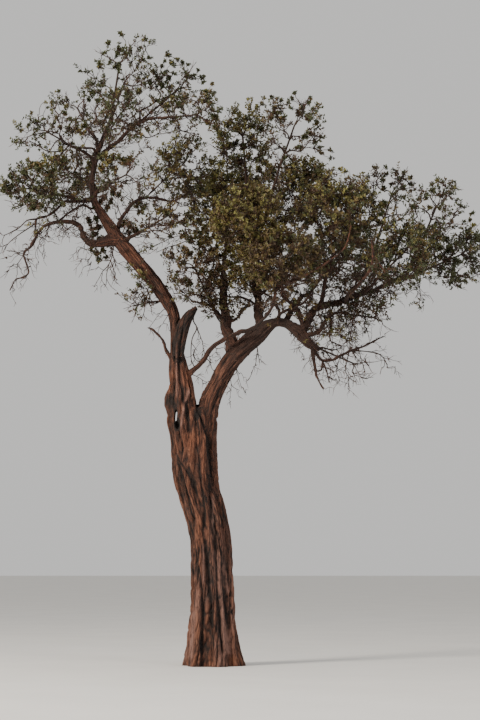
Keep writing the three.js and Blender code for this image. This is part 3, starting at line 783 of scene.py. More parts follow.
def keepShading(piece, heights):  # the bark's own shading up to the cuts, which don't show
    mesh = piece.data
    normals = meshArray(mesh.attributes["shading"].data, "vector", 3, np.float32)
    corners = meshArray(mesh.loops, "vertex_index", kind=np.int32)
    faceNormals = meshArray(mesh.polygons, "normal", 3, np.float32)
    sizes = meshArray(mesh.polygons, "loop_total", kind=np.int32)
    centres = meshArray(mesh.polygons, "center", 3, np.float32)
    caps = (np.abs(centres[:, 2:] - heights) < greatValues["level"]).any(1)
    faceOf = np.repeat(np.arange(len(mesh.polygons)), sizes)
    shading = np.where(caps[faceOf][:, None], faceNormals[faceOf], normals[corners])
    mesh.attributes.remove(mesh.attributes["shading"])
    mesh.normals_split_custom_set(shading.tolist())


def greatBark():
    values = greatValues
    trunk = trunkBody()
    bodies = [trunk] + [limbBody(limbs[name]) for name in values["limbs"]]
    for body in bodies[:2]:
        cutHollows(body)
    bpy.ops.object.select_all(action="DESELECT")
    for body in bodies:
        body.select_set(True)
    bpy.context.view_layer.objects.active = trunk
    bpy.ops.object.join()
    applyModifier(trunk, "REMESH", mode="VOXEL", voxel_size=values["voxel"])
    fork = trunk.vertex_groups.new(name="fork")
    for vertex in trunk.data.vertices:
        away = (vertex.co.z - values["forkHeight"]) / values["forkSpan"]
        fork.add([vertex.index], math.exp(-away ** 2), "REPLACE")
    applyModifier(trunk, "SMOOTH", factor=values["smooth"], iterations=values["smoothTurns"])
    applyModifier(trunk, "SMOOTH", factor=values["smooth"], iterations=values["forkTurns"],
                  vertex_group="fork")
    trunk.vertex_groups.clear()
    bpy.ops.object.shade_smooth()
    addRelief(trunk)
    levelCut(trunk, 0, keepAbove=True)
    addAttribute(trunk.data, "shading", "FLOAT_VECTOR", meshArray(trunk.data.vertices, "normal", 3))
    pieces = [trunk]
    for height in values["cuts"]:
        only(pieces[-1])
        bpy.ops.object.duplicate()
        above = bpy.context.object
        levelCut(pieces[-1], height, keepAbove=False)
        levelCut(above, height, keepAbove=True)
        pieces.append(above)
    for piece, name in zip(pieces, values["pieces"]):
        keepShading(piece, values["cuts"])
        piece.name = name
        piece.data.name = name
    return pieces


# Round bars along lines, with ridges and a collar where a limb leaves what carries it

def facesPiece(name, corners, faces):  # from lists; a face with its last corner twice is a triangle
    mesh = bpy.data.meshes.new(name)
    mesh.from_pydata(corners, [], [f[:3] if f[2] == f[3] else f for f in faces])
    mesh.polygons.foreach_set("use_smooth", np.ones(len(mesh.polygons), bool))
    piece = bpy.data.objects.new(name, mesh)
    bpy.context.collection.objects.link(piece)
    return piece


barLook = {"apart": 1.3, "footEnd": 0.5, "tipEnd": 1.5, "endTone": 0.6}


def ringBars(bars, ridged=False):  # each bar has its points, radii, frames, runs and number of sides
    corners = []
    faces = []
    grains = []
    tones = []
    base = 0
    for number, (points, radii, frames, runs, sides) in enumerate(bars):
        for point, radius, (across, beside, _), run in zip(points, radii, frames, runs):
            for k in range(sides):
                turn = 2 * math.pi * k / sides
                x = math.cos(turn) * radius
                y = math.sin(turn) * radius
                height, tone = barkAt(x + number * barLook["apart"], y, run, radius) if ridged else (0, 1)
                corners.append(point + (across * x + beside * y) * (1 + height / radius))
                grains.append((x, y, run))
                tones.append(tone)
        for i in range(len(points) - 1):
            for k in range(sides):
                a = base + i * sides + k
                b = base + i * sides + (k + 1) % sides
                faces.append((a, a + sides, b + sides, b))
        foot = points[0] - frames[0][2] * radii[0] * barLook["footEnd"]
        top = points[-1] + frames[-1][2] * radii[-1] * barLook["tipEnd"]
        for point, i in ((foot, 0), (top, len(points) - 1)):
            tip = len(corners)
            corners.append(point)
            grains.append((0, 0, runs[i]))
            tones.append(barLook["endTone"])
            for k in range(sides):
                a = base + i * sides + k
                b = base + i * sides + (k + 1) % sides
                faces.append((a, b, tip, tip) if i == 0 else (b, a, tip, tip))
        base = len(corners)
    return corners, faces, grains, tones


boughLook = {
    "collar": 0.5, "collarLength": 1.6, "leastSides": 12, "sideLength": 0.014, "stray": 0.7,
    "strayScale": 2.6, "fineStray": 0.3, "fineScale": 8,
    "thinStray": 0.03,  # how much further than its radius a thin limb may stray, and how far any limb may
    "mostStray": 0.07, "swell": 0.24, "swellScale": 9, "apart": 31.4,
}


def noiseVector(place):  # three values of noise, the same in each run
    return Vector([noise.noise(place + Vector((axis * boughLook["apart"], 0, 0))) for axis in range(3)])


def wanderingLine(limb, number):  # small crooks that the solid leaves out, none at either end
    crooks = []
    share = [run / limb.runs[-1] for run in limb.runs]
    for point, radius, s in zip(limb.points, limb.radii, share):
        crook = noiseVector(point * boughLook["strayScale"] + Vector((number, 0, 0))) * boughLook["stray"]
        crook += noiseVector(point * boughLook["fineScale"] + Vector((0, number, 0))) * boughLook["fineStray"]
        room = min(radius + boughLook["thinStray"], boughLook["mostStray"])
        crooks.append(point + crook * room * math.sin(math.pi * s))
    return crooks


def lesserBars():
    bars = []
    for number, (name, limb) in enumerate(limbs.items()):
        if name in greatValues["limbs"]:
            continue
        thick = limb.radii[0]
        limb.points = wanderingLine(limb, number)
        limb.frames = lineFrames(limb.points)
        fall = thick * boughLook["collarLength"]
        radii = []
        for point, radius, run in zip(limb.points, limb.radii, limb.runs):
            swell = 1 + boughLook["swell"] * noise.noise(point * boughLook["swellScale"])
            radii.append(radius * swell * (1 + boughLook["collar"] * math.exp(-run / fall)))
        sides = max(boughLook["leastSides"], round(2 * math.pi * thick / boughLook["sideLength"]))
        bars.append((limb.points, radii, limb.frames, limb.runs, sides))
    return bars


def boughBark(bars):
    corners, faces, grains, tones = ringBars(bars, ridged=True)
    piece = facesPiece("boughBark", corners, faces)
    addAttribute(piece.data, "grain", "FLOAT_VECTOR", grains)
    addAttribute(piece.data, "ridge", "FLOAT", tones)
    return piece


# Twigs grow in each mass by the solids' rule, and are then carried on to finer ones

def shootCorners(start, end, roll, size, bare):  # a shoot of the solids: rings of three corners and a point
    rings = [(0, rule["tipRadius"], rule["tipRadius"]), (rule["neck"], rule["tipRadius"], rule["tipRadius"])]
    if not bare:
        rings.append((rule["widest"], rule["sprayWidth"] * size / 2, rule["sprayThickness"] / 2))
    direction = end - start
    turn = Vector((0, 1, 0)).rotation_difference(direction.normalized()).to_matrix()
    turn = turn @ Matrix.Rotation(roll, 3, "Y")
    corners = []
    for share, wide, thick in rings:
        for k in range(3):
            angle = 2 * math.pi * k / 3
            corner = Vector((math.sin(angle) * wide, share * direction.length, math.cos(angle) * thick))
            corners.append((start + turn @ corner) * mm)
    corners.append(end * mm)
    faces = [(0, 1, 2)]
    for i in range(len(rings) - 1):
        for k in range(3):
            a = i * 3 + k
            b = i * 3 + (k + 1) % 3
            faces += [(a, b, b + 3), (a, b + 3, a + 3)]
    last = (len(rings) - 1) * 3
    faces += [(last + k, last + (k + 1) % 3, len(corners) - 1) for k in range(3)]
    return corners, faces


def barkTree():  # the solids of trunk and boughs, to test whether something touches them
    corners = []
    faces = []
    for name, node in frame["nodes"].items():
        if name.endswith(("foliage", "twigs")):
            continue
        base = len(corners)
        corners += [vertex.co.copy() for vertex in node.data.vertices]
        node.data.calc_loop_triangles()
        faces += [[base + k for k in triangle.vertices] for triangle in node.data.loop_triangles]
    return BVHTree.FromPolygons(corners, faces)


barkSolids = barkTree()


def touchesBark(places, clearance):
    return any(barkSolids.find_nearest(place * mm, clearance)[0] for place in places)


class Joint:
    def __init__(self, place, length, on=None, fed=0, forward=None):
        self.place = place
        self.length = length
        self.on = on
        self.fed = fed
        self.forward = forward


def shootEnds(space, foot, draw):
    count = rule["bareShoots"] if space.bare else rule["leafyShoots"]
    ends = []
    for i in range(count):
        direction = evenDirection(i, count, i * rule["goldenTurn"] + draw() * rule["turnStray"])
        share = between(rule["bareEnds"] if space.bare else rule["leafyEnds"], draw())
        place = space.middle + direction * space.reach(direction) * share
        roll = draw() * math.pi
        draw()  # the turn of the solids' side spray
        ends.append((place, roll, between(rule["sizes"], draw())))
    return sorted(ends, key=lambda end: (end[0] - foot).length)


def nearestJoint(joints, place):
    return min(joints, key=lambda joint: (joint.place - place).length + rule["stemLiking"] * joint.length)


def growShoots(space, bough, draw):
    tip = bough.corners[-1]
    forward = (tip - bough.corners[-2]).normalized()
    foot = tip + forward * rule["seatGap"]
    stem = [foot, foot + forward * rule["stemStart"]]
    for i in range(1, rule["stemSteps"] + 1):
        stem.append(stem[1].lerp(space.middle, i / rule["stemSteps"]))
    joints = []
    for i, place in enumerate(stem[1:]):
        ahead = (place - stem[i]).normalized()
        joints.append(Joint(place, (place - foot).length, joints[-1] if joints else None, forward=ahead))
    shoots = []
    for end, roll, size in shootEnds(space, foot, draw):
        on = nearestJoint(joints, end)
        corners, faces = shootCorners(on.place, end, roll, size, space.bare)
        if not space.holds(end, rule["endMargin"]):
            continue
        if barkSolids.overlap(BVHTree.FromPolygons(corners, faces)):
            continue
        place = on.place.lerp(end, rule["neck"])
        joint = Joint(place, on.length + (place - on.place).length, on, 1, (end - on.place).normalized())
        below = on
        while below:
            below.fed += 1
            below = below.on
        joints.append(joint)
        shoots.append((on, joint, end))
    return stem, joints, shoots


def twigRadius(joint, joints, stemRadius):
    share = (joint.fed - 1) / ((joints[0].fed - 1) or 1)
    return between((rule["tipRadius"], stemRadius), math.sqrt(max(share, 0)))


fineValues = {
    "outerEnds": 46,  # finer twigs of a leafy mass that end near its edge, at a fullness of 1
    "innerEnds": 18, "outerShare": (0.74, 1.0), "innerShare": (0.35, 0.75), "mingle": 1.22,
    "mostShare": 0.995, "turnStray": 1.2,
    "lobes": 0.3,  # how much the reach swells and sinks over the mass
    "lobeScale": 2.1, "lobeApart": 0.01, "lobeLevel": 0.35, "bareEnds": 34, "bareShare": (0.5, 1.0),
    "boughOffers": 0.45,  # finer twigs may leave the bough itself beyond this share of its length
    "boughStep": 3,
    "boughLiking": 6,  # how much nearer a place on the bough counts for each point it is back from the tip
    "shootOffers": (0.55, 0.72, 0.88), "twigOffers": (0.3, 0.6), "ahead": 0.1, "shortest": 60,
    "footRadius": 12, "tipRadius": 3.6, "points": 9, "sides": 4, "bend": 0.16,
}
sprayValues = {
    "perTwig": 8, "perShoot": 11,
    "from": 0.30,  # of a twig's length, where its first spray leaves
    "stray": 0.8, "sideStray": 0.7, "ahead": 0.05, "length": (90, 210), "lean": 1.0, "lastLean": 0.25,
    "outward": 0.4, "lift": 0.35, "footRadius": 4.6, "taper": 0.6, "bend": 0.09,
    "follow": 0.08,  # how far a spray first follows its twig
    "beyond": 90,  # a spray that would end further outside its mass than this is shortened
    "shortened": 0.6,
    "clump": 4.0,  # thick and thin places a metre
    "thin": -0.30,  # below this the place stays empty, at a fullness of 1
    "openThin": 0.5,  # how much that rises as the mass gets open
    "openKeep": 0.35,  # share of leafy sprays kept in a mass with no fullness
    "clearance": 0.02,
    "underThin": 0.35,  # how much barer the underside of a mass is
    "underFrom": 0.1,
    "bareKeep": 0.62,  # share of bare twiglets kept where leaves are thinned
    "bareMassKeep": 0.5,
}
leafValues = {
    "seed": 5, "tufts": 4, "perTuft": 3, "length": (32, 52), "width": 0.54, "fold": 0.16, "first": 0.32,
    "stray": 0.07, "forward": (0.1, 1.0), "lift": 0.2, "outward": 0.5, "facing": (0, -0.1, 0.6),
    "tumble": 0.8,
    "outline": ((0, 0), (0.30, 0.42), (0.68, 0.40), (1, 0), (0.68, -0.40), (0.30, -0.42)),
}
underValues = {  # side twigs that leave the boughs below their masses, with few leaves
    "spacing": 85, "from": 0.12,
    "sunk": 0.5,  # how deep in the bough a twig starts, as a share of the bough's radius
    "forward": 0.5, "rise": (-0.25, 0.65), "length": (200, 620),
    "shorter": 1.5,  # more of them are short the higher this is
    "bend": 0.2, "clearance": 0.012, "footRadius": 9,
    "footShare": 0.7,  # of the bough's radius, as the most for a twig's
    "tipRadius": 2.6, "points": 8, "sides": 5, "sprays": 7, "sprayLength": (80, 210),
    "sprayRise": (-0.32, 0.48), "leafy": 0.3, "mostFull": 1.4, "luck": 0.7,
    "great": {"left_leader": (0.44, 1.0, 34), "cross": (0.85, 1.0, 4), "back_centre": (0.25, 1.0, 20),
              "high_centre": (0.2, 1.0, 24), "low_centre": (0.3, 1.0, 10), "right_high": (0.2, 1.0, 30)},
}


crookValues = {"ahead": 0.3, "first": 2, "spacing": 1.8, "tipStray": 0.01}


def crookedTwig(start, end, forward, draw, bend, crooks=4):  # leaves along its carrier, then turns to its end
    values = crookValues
    way = end - start
    length = way.length
    leaving = way.normalized() * (1 - values["ahead"]) + forward * values["ahead"]
    points = [start, start + leaving * length / (crooks + values["first"])]
    for i in range(crooks):
        share = (i + values["spacing"]) / (crooks + values["spacing"])
        side = strayVector(draw) * 2 * bend * length
        points.append(start + way * share + side if i < crooks - 1 else end + side * values["tipStray"])
    return points


def fineOffers(bough, joints, shoots):  # where finer twigs may start
    values = fineValues
    offers = list(joints)
    low = int(values["boughOffers"] * len(bough.points))
    for i in range(low, len(bough.points) - 1, values["boughStep"]):
        liking = -values["boughLiking"] * (len(bough.points) - i)
        offers.append(Joint(bough.points[i] / mm, liking, forward=bough.frames[i][2]))
    for on, joint, end in shoots:
        for share in values["shootOffers"]:
            place = on.place.lerp(end, share)
            offers.append(Joint(place, on.length + (place - on.place).length, joint, forward=joint.forward))
    return offers


def fineEnds(space, draw):  # where they end: near the edge of a leafy mass and within it
    values = fineValues
    ends = []
    for kind in ["bare"] if space.bare else ["outer", "inner"]:
        count = round(values[kind + "Ends"] * space.full)
        for i in range(count):
            direction = evenDirection(i, count, i * rule["goldenTurn"] + draw() * values["turnStray"])
            swell = noise.noise(direction * values["lobeScale"] + space.middle * values["lobeApart"])
            lobe = 1 + values["lobes"] * (swell - values["lobeLevel"])
            share = min(between(values[kind + "Share"], draw()) * lobe, values["mostShare"])
            ends.append(space.middle + direction * space.reach(direction, values["mingle"]) * share)
    return ends


def growFine(space, bough, joints, shoots, draw):  # finer twigs, in millimetres
    values = fineValues
    offers = fineOffers(bough, joints, shoots)
    twigs = []
    for end in sorted(fineEnds(space, draw), key=lambda end: (end - joints[0].place).length):
        on = nearestJoint(offers, end)
        if (end - on.place).length < values["shortest"]:
            continue
        points = crookedTwig(on.place, end, on.forward, draw, values["bend"])
        if touchesBark(points[2:], sprayValues["clearance"]):
            continue
        for share in values["twigOffers"]:
            place = linePoint(points, share)
            forward = (linePoint(points, share + values["ahead"]) - place).normalized()
            offers.append(Joint(place, on.length + (place - on.place).length, on, forward=forward))
        twigs.append(points)
    return twigs


def sprayFeet(space, twig, count, draw, sprays):  # sprays along one twig: foot, tip, way ahead, leafy, luck
    values = sprayValues
    full = space.full
    for i in range(count):
        share = between((values["from"], 1.0), (i + draw() * values["stray"]) / count)
        foot = linePoint(twig, min(share, 1.0))
        ahead = wayAt(twig, share, values["ahead"])
        level = turnedAside(ahead, i * rule["goldenTurn"] + draw())
        outward = (foot - space.middle).normalized()
        lean = values["lean"] * (values["lastLean"] if i == count - 1 else 1)
        direction = ahead + level * lean + outward * values["outward"] + up * values["lift"]
        length = between(values["length"], draw())
        kept = draw()
        tip = foot + direction.normalized() * length
        if space.bare:
            if kept < values["bareMassKeep"] * full:
                sprays.append((foot, tip, ahead, False, kept))
            continue
        isOutward = (tip - space.middle).length > (foot - space.middle).length
        if isOutward and not space.holds(tip, -values["beyond"]):
            tip = foot + direction.normalized() * length * values["shortened"]
        if touchesBark([tip], values["clearance"]):
            continue
        thin = values["thin"] + (1 - min(full, 1)) * values["openThin"]
        thin += max(-outward.z - values["underFrom"], 0) * values["underThin"]
        isThick = noise.noise(foot * mm * values["clump"]) > thin
        leafy = isThick and kept < between((values["openKeep"], 1), full)
        if leafy or kept < values["bareKeep"]:
            sprays.append((foot, tip, ahead, leafy, kept))


twigValues = {"twigs": (46, 31, 22), "fine": (74, 46, 33), "taper": 0.8}

# Colours of the leaves, dealt out by spray: painted shade makes them darker inside and below, painted light
# lighter at the outer upper side; they are darker in open masses too, and vary by chance and in patches
leafColourValues = {
    "open": 0.16, "dense": 0.05, "height": 0.08, "far": 0.30, "mostFar": 1.2, "under": 0.6,
    "luck": 0.75, "patches": 0.35, "patchScale": 3,
    "heart": (0.6, 4.0, 6.9, 2.6),  # greener away from here: across, and how far; up, and how far
    "greenBelow": 0.7, "greenLuck": 97,
    "steps": {"DeepLeaves": 0.36, "OliveLeaves": 0.64, "GreenLeaves": 0.92},  # each goes up to here
}
# deep leaves carry most of the painted shade, pale leaves most of the painted light
leafColours = {
    "DeepLeaves": (62, 45, 23),
    "OliveLeaves": (88, 73, 36),
    "GreenLeaves": (94, 88, 43),
    "PaleLeaves": (126, 120, 64),
    "DarkLeaves": (58, 61, 29),
}


def leafColour(middle, spread, foot, kept):
    values = leafColourValues
    outward = foot - middle
    far = min(componentDivide(outward, spread).length, values["mostFar"])
    rise = max(min(outward.z / spread.z, 1), -1)
    # painted light higher up and towards the outside, less of it underneath as painted shade
    light = values["height"] * rise + values["luck"] * kept
    light += values["far"] * far * (1 + values["under"] * min(rise, 0))
    light += values["patches"] * noise.noise(foot * mm * values["patchScale"])
    x, wide, z, high = values["heart"]
    away = max(abs(foot.x * mm - x) / wide, (foot.z * mm - z) / high)
    if light < values["greenBelow"] and kept * values["greenLuck"] % 1 < away:
        return "DarkLeaves"
    for name, limit in values["steps"].items():
        if light < limit:
            return name
    return "PaleLeaves"


def twigBar(points, footRadius, tipRadius, count, sides):
    line = [p * mm for p in smoothLine(points, count)]
    taper = twigValues["taper"]
    radii = [between((footRadius, tipRadius), (i / count) ** taper) * mm for i in range(count + 1)]
    length = lineLength(points) * mm
    return line, radii, lineFrames(line), [i / count * length for i in range(count + 1)], sides


def limbPlace(limb, low, high, share):  # the number of a point of the limb's line
    return int(between((low, high), share) * (len(limb.points) - 1))


def sprayStarts(twig, way, count, draw):  # where the sprays of a side twig leave, and to which side
    values = sprayValues
    for i in range(count):
        foot = linePoint(twig, between((values["from"], 1), (i + draw() * values["sideStray"]) / count))
        yield foot, turnedAside(way, i * rule["goldenTurn"] + draw())


def underTwigs(name, limb, space, bars, sprays, draw):  # side twigs along a bough
    values = underValues
    usual = (values["from"], 1.0, round(limb.runs[-1] / mm / values["spacing"]))
    low, high, count = values["great"].get(name, usual)
    for i in range(count):
        k = limbPlace(limb, low, high, (i + draw()) / count)
        radius = limb.radii[k]
        side = around(limb.frames[k], i * rule["goldenTurn"] + draw())
        rise = between(values["rise"], draw())
        way = (side + limb.frames[k][2] * values["forward"] + up * rise).normalized()
        start = limb.points[k] / mm + side * radius / mm * values["sunk"]
        end = start + way * between(values["length"], draw() ** values["shorter"])
        twig = crookedTwig(start, end, side, draw, values["bend"])
        if touchesBark(twig[3:], values["clearance"]):
            continue
        footRadius = min(values["footRadius"], radius / mm * values["footShare"])
        bars.append(twigBar(twig, footRadius, values["tipRadius"], values["points"], values["sides"]))
        for foot, aside in sprayStarts(twig, way, values["sprays"], draw):
            direction = (way + aside + up * between(values["sprayRise"], draw())).normalized()
            tip = foot + direction * between(values["sprayLength"], draw())
            leafy = draw() < values["leafy"] * min(space.full, values["mostFull"]) and not space.bare
            sprays.append((foot, tip, way, leafy, draw() * values["luck"]))


crownValues = {  # the stem of each mass and its shoots, in millimetres
    "fineSeed": 1000,
    "sunk": 40,  # how far back in the bough's tip the stem starts
    "slim": {True: 0.45, False: 0.85},  # girth in bare and in leafy masses, against the rule's
    "stemTip": 0.7, "stemPoints": 8, "stemSides": 7, "bend": 0.07, "foot": 1.7,
    "mostFoot": 0.95,  # of its carrier's radius
    "tipRadius": 3.4, "points": 10, "sides": 6,
}


def growCrown(bars, sprays):
    values = crownValues
    for seed, (name, space) in enumerate(spaces.items(), 1):
        carrier = next(key for key, entry in boughValues.items() if entry.get("into", key) == name)
        bough = limbs[carrier]
        stem, joints, shoots = growShoots(space, bough, seeded(seed))
        draw = seeded(seed + values["fineSeed"])
        stemRadius = bough.radii[-1] / mm
        own = bars["bare" if space.bare else "leafy"]
        mine = []
        stemStart = bough.corners[-1] - joints[0].forward * values["sunk"]
        slim = values["slim"][space.bare]
        stemTip = twigRadius(joints[0], joints, stemRadius) * values["stemTip"]
        own.append(twigBar([stemStart] + stem[1:], stemRadius * slim, stemTip * slim, values["stemPoints"],
                           values["stemSides"]))
        for on, joint, end in shoots:
            points = crookedTwig(on.place, end, on.forward or joint.forward, draw, values["bend"], 3)
            foot = min(twigRadius(joint, joints, stemRadius) * values["foot"],
                       twigRadius(on, joints, stemRadius) * values["mostFoot"])
            own.append(twigBar(points, foot * slim, values["tipRadius"], values["points"], values["sides"]))
            sprayFeet(space, points, sprayValues["perShoot"], draw, mine)
        fine = fineValues
        for points in growFine(space, bough, joints, shoots, draw):
            own.append(twigBar(points, fine["footRadius"], fine["tipRadius"], fine["points"], fine["sides"]))
            sprayFeet(space, points, sprayValues["perTwig"], draw, mine)
        underTwigs(carrier, bough, space, own, mine, draw)
        # open masses are darker; each mass's dim adds painted shade, and painted light where below zero
        dark = leafColourValues["open"] - leafColourValues["dense"] * space.full + space.dim
        sprays += [(space.middle, space.spread, *spray[:4], spray[4] - dark) for spray in mine]


def sprayBars(feet, tips, ahead, random):  # thin three-sided twigs with one bend, and their corners
    values = sprayValues
    way = tips - feet
    length = np.linalg.norm(way, axis=1, keepdims=True)
    bend = random.normal(0, values["bend"], feet.shape) * length
    middles = feet + way * 0.5 + ahead * length * values["follow"] + bend
    forward = way / length
    across = unit(np.cross(forward, random.normal(size=feet.shape)))
    beside = np.cross(forward, across)
    corners = []
    thick = values["footRadius"]
    for place, radius in ((feet, thick * mm), (middles, thick * values["taper"] * mm)):
        for k in range(3):
            corners.append(place + around((across, beside), 2 * math.pi * k / 3) * radius)
    corners.append(tips)
    corners = np.stack(corners, 1)
    pattern = []
    for k in range(3):
        n = (k + 1) % 3
        pattern += [(k, n, n + 3), (k, n + 3, k + 3), (k + 3, n + 3, 6)]
    pattern.append((0, 2, 1))
    faces = np.array(pattern)[None] + 7 * np.arange(len(feet))[:, None, None]
    return corners.reshape(-1, 3), faces.reshape(-1, 3), middles


def unit(vectors):
    return vectors / np.linalg.norm(vectors, axis=-1, keepdims=True)


def leafMesh(feet, middles, tips, outward, random):  # tufts of leaflets along each spray, folded at the rib
    values = leafValues
    n = len(feet)
    tufts = values["tufts"]
    count = tufts * values["perTuft"]
    stray = random.uniform(-values["stray"], values["stray"], (n, tufts))
    share = np.linspace(values["first"], 1, tufts)[None] + stray
    share = np.repeat(np.clip(share, 0, 1), values["perTuft"], 1)[..., None]
    place = ((1 - share) ** 2 * feet[:, None] + 2 * share * (1 - share) * middles[:, None]
             + share**2 * tips[:, None])
    forward = unit(tips - feet)[:, None]
    side = unit(np.cross(forward, random.normal(size=(n, count, 3))))
    along = forward * random.uniform(*values["forward"], (n, count, 1))
    axis = unit(along + side + np.array([0, 0, values["lift"]]))
    tumble = random.normal(0, values["tumble"], (n, count, 3))
    facing = outward[:, None] * values["outward"] + np.array(values["facing"]) + tumble
    wide = unit(np.cross(axis, facing))
    normal = np.cross(wide, axis)
    length = random.uniform(*values["length"], (n, count, 1)) * mm
    width = length * values["width"]
    corners = []
    for run, across in values["outline"]:
        lift = values["fold"] * abs(across) * 2
        corners.append(place + axis * length * run + wide * width * across + normal * width * lift)
    corners = np.stack(corners, 2).reshape(-1, 3)
    pattern = np.array([(0, 1, 2, 3), (0, 3, 4, 5)])
    faces = pattern[None] + 6 * np.arange(n * count)[:, None, None]
    return corners, faces.reshape(-1, 4)


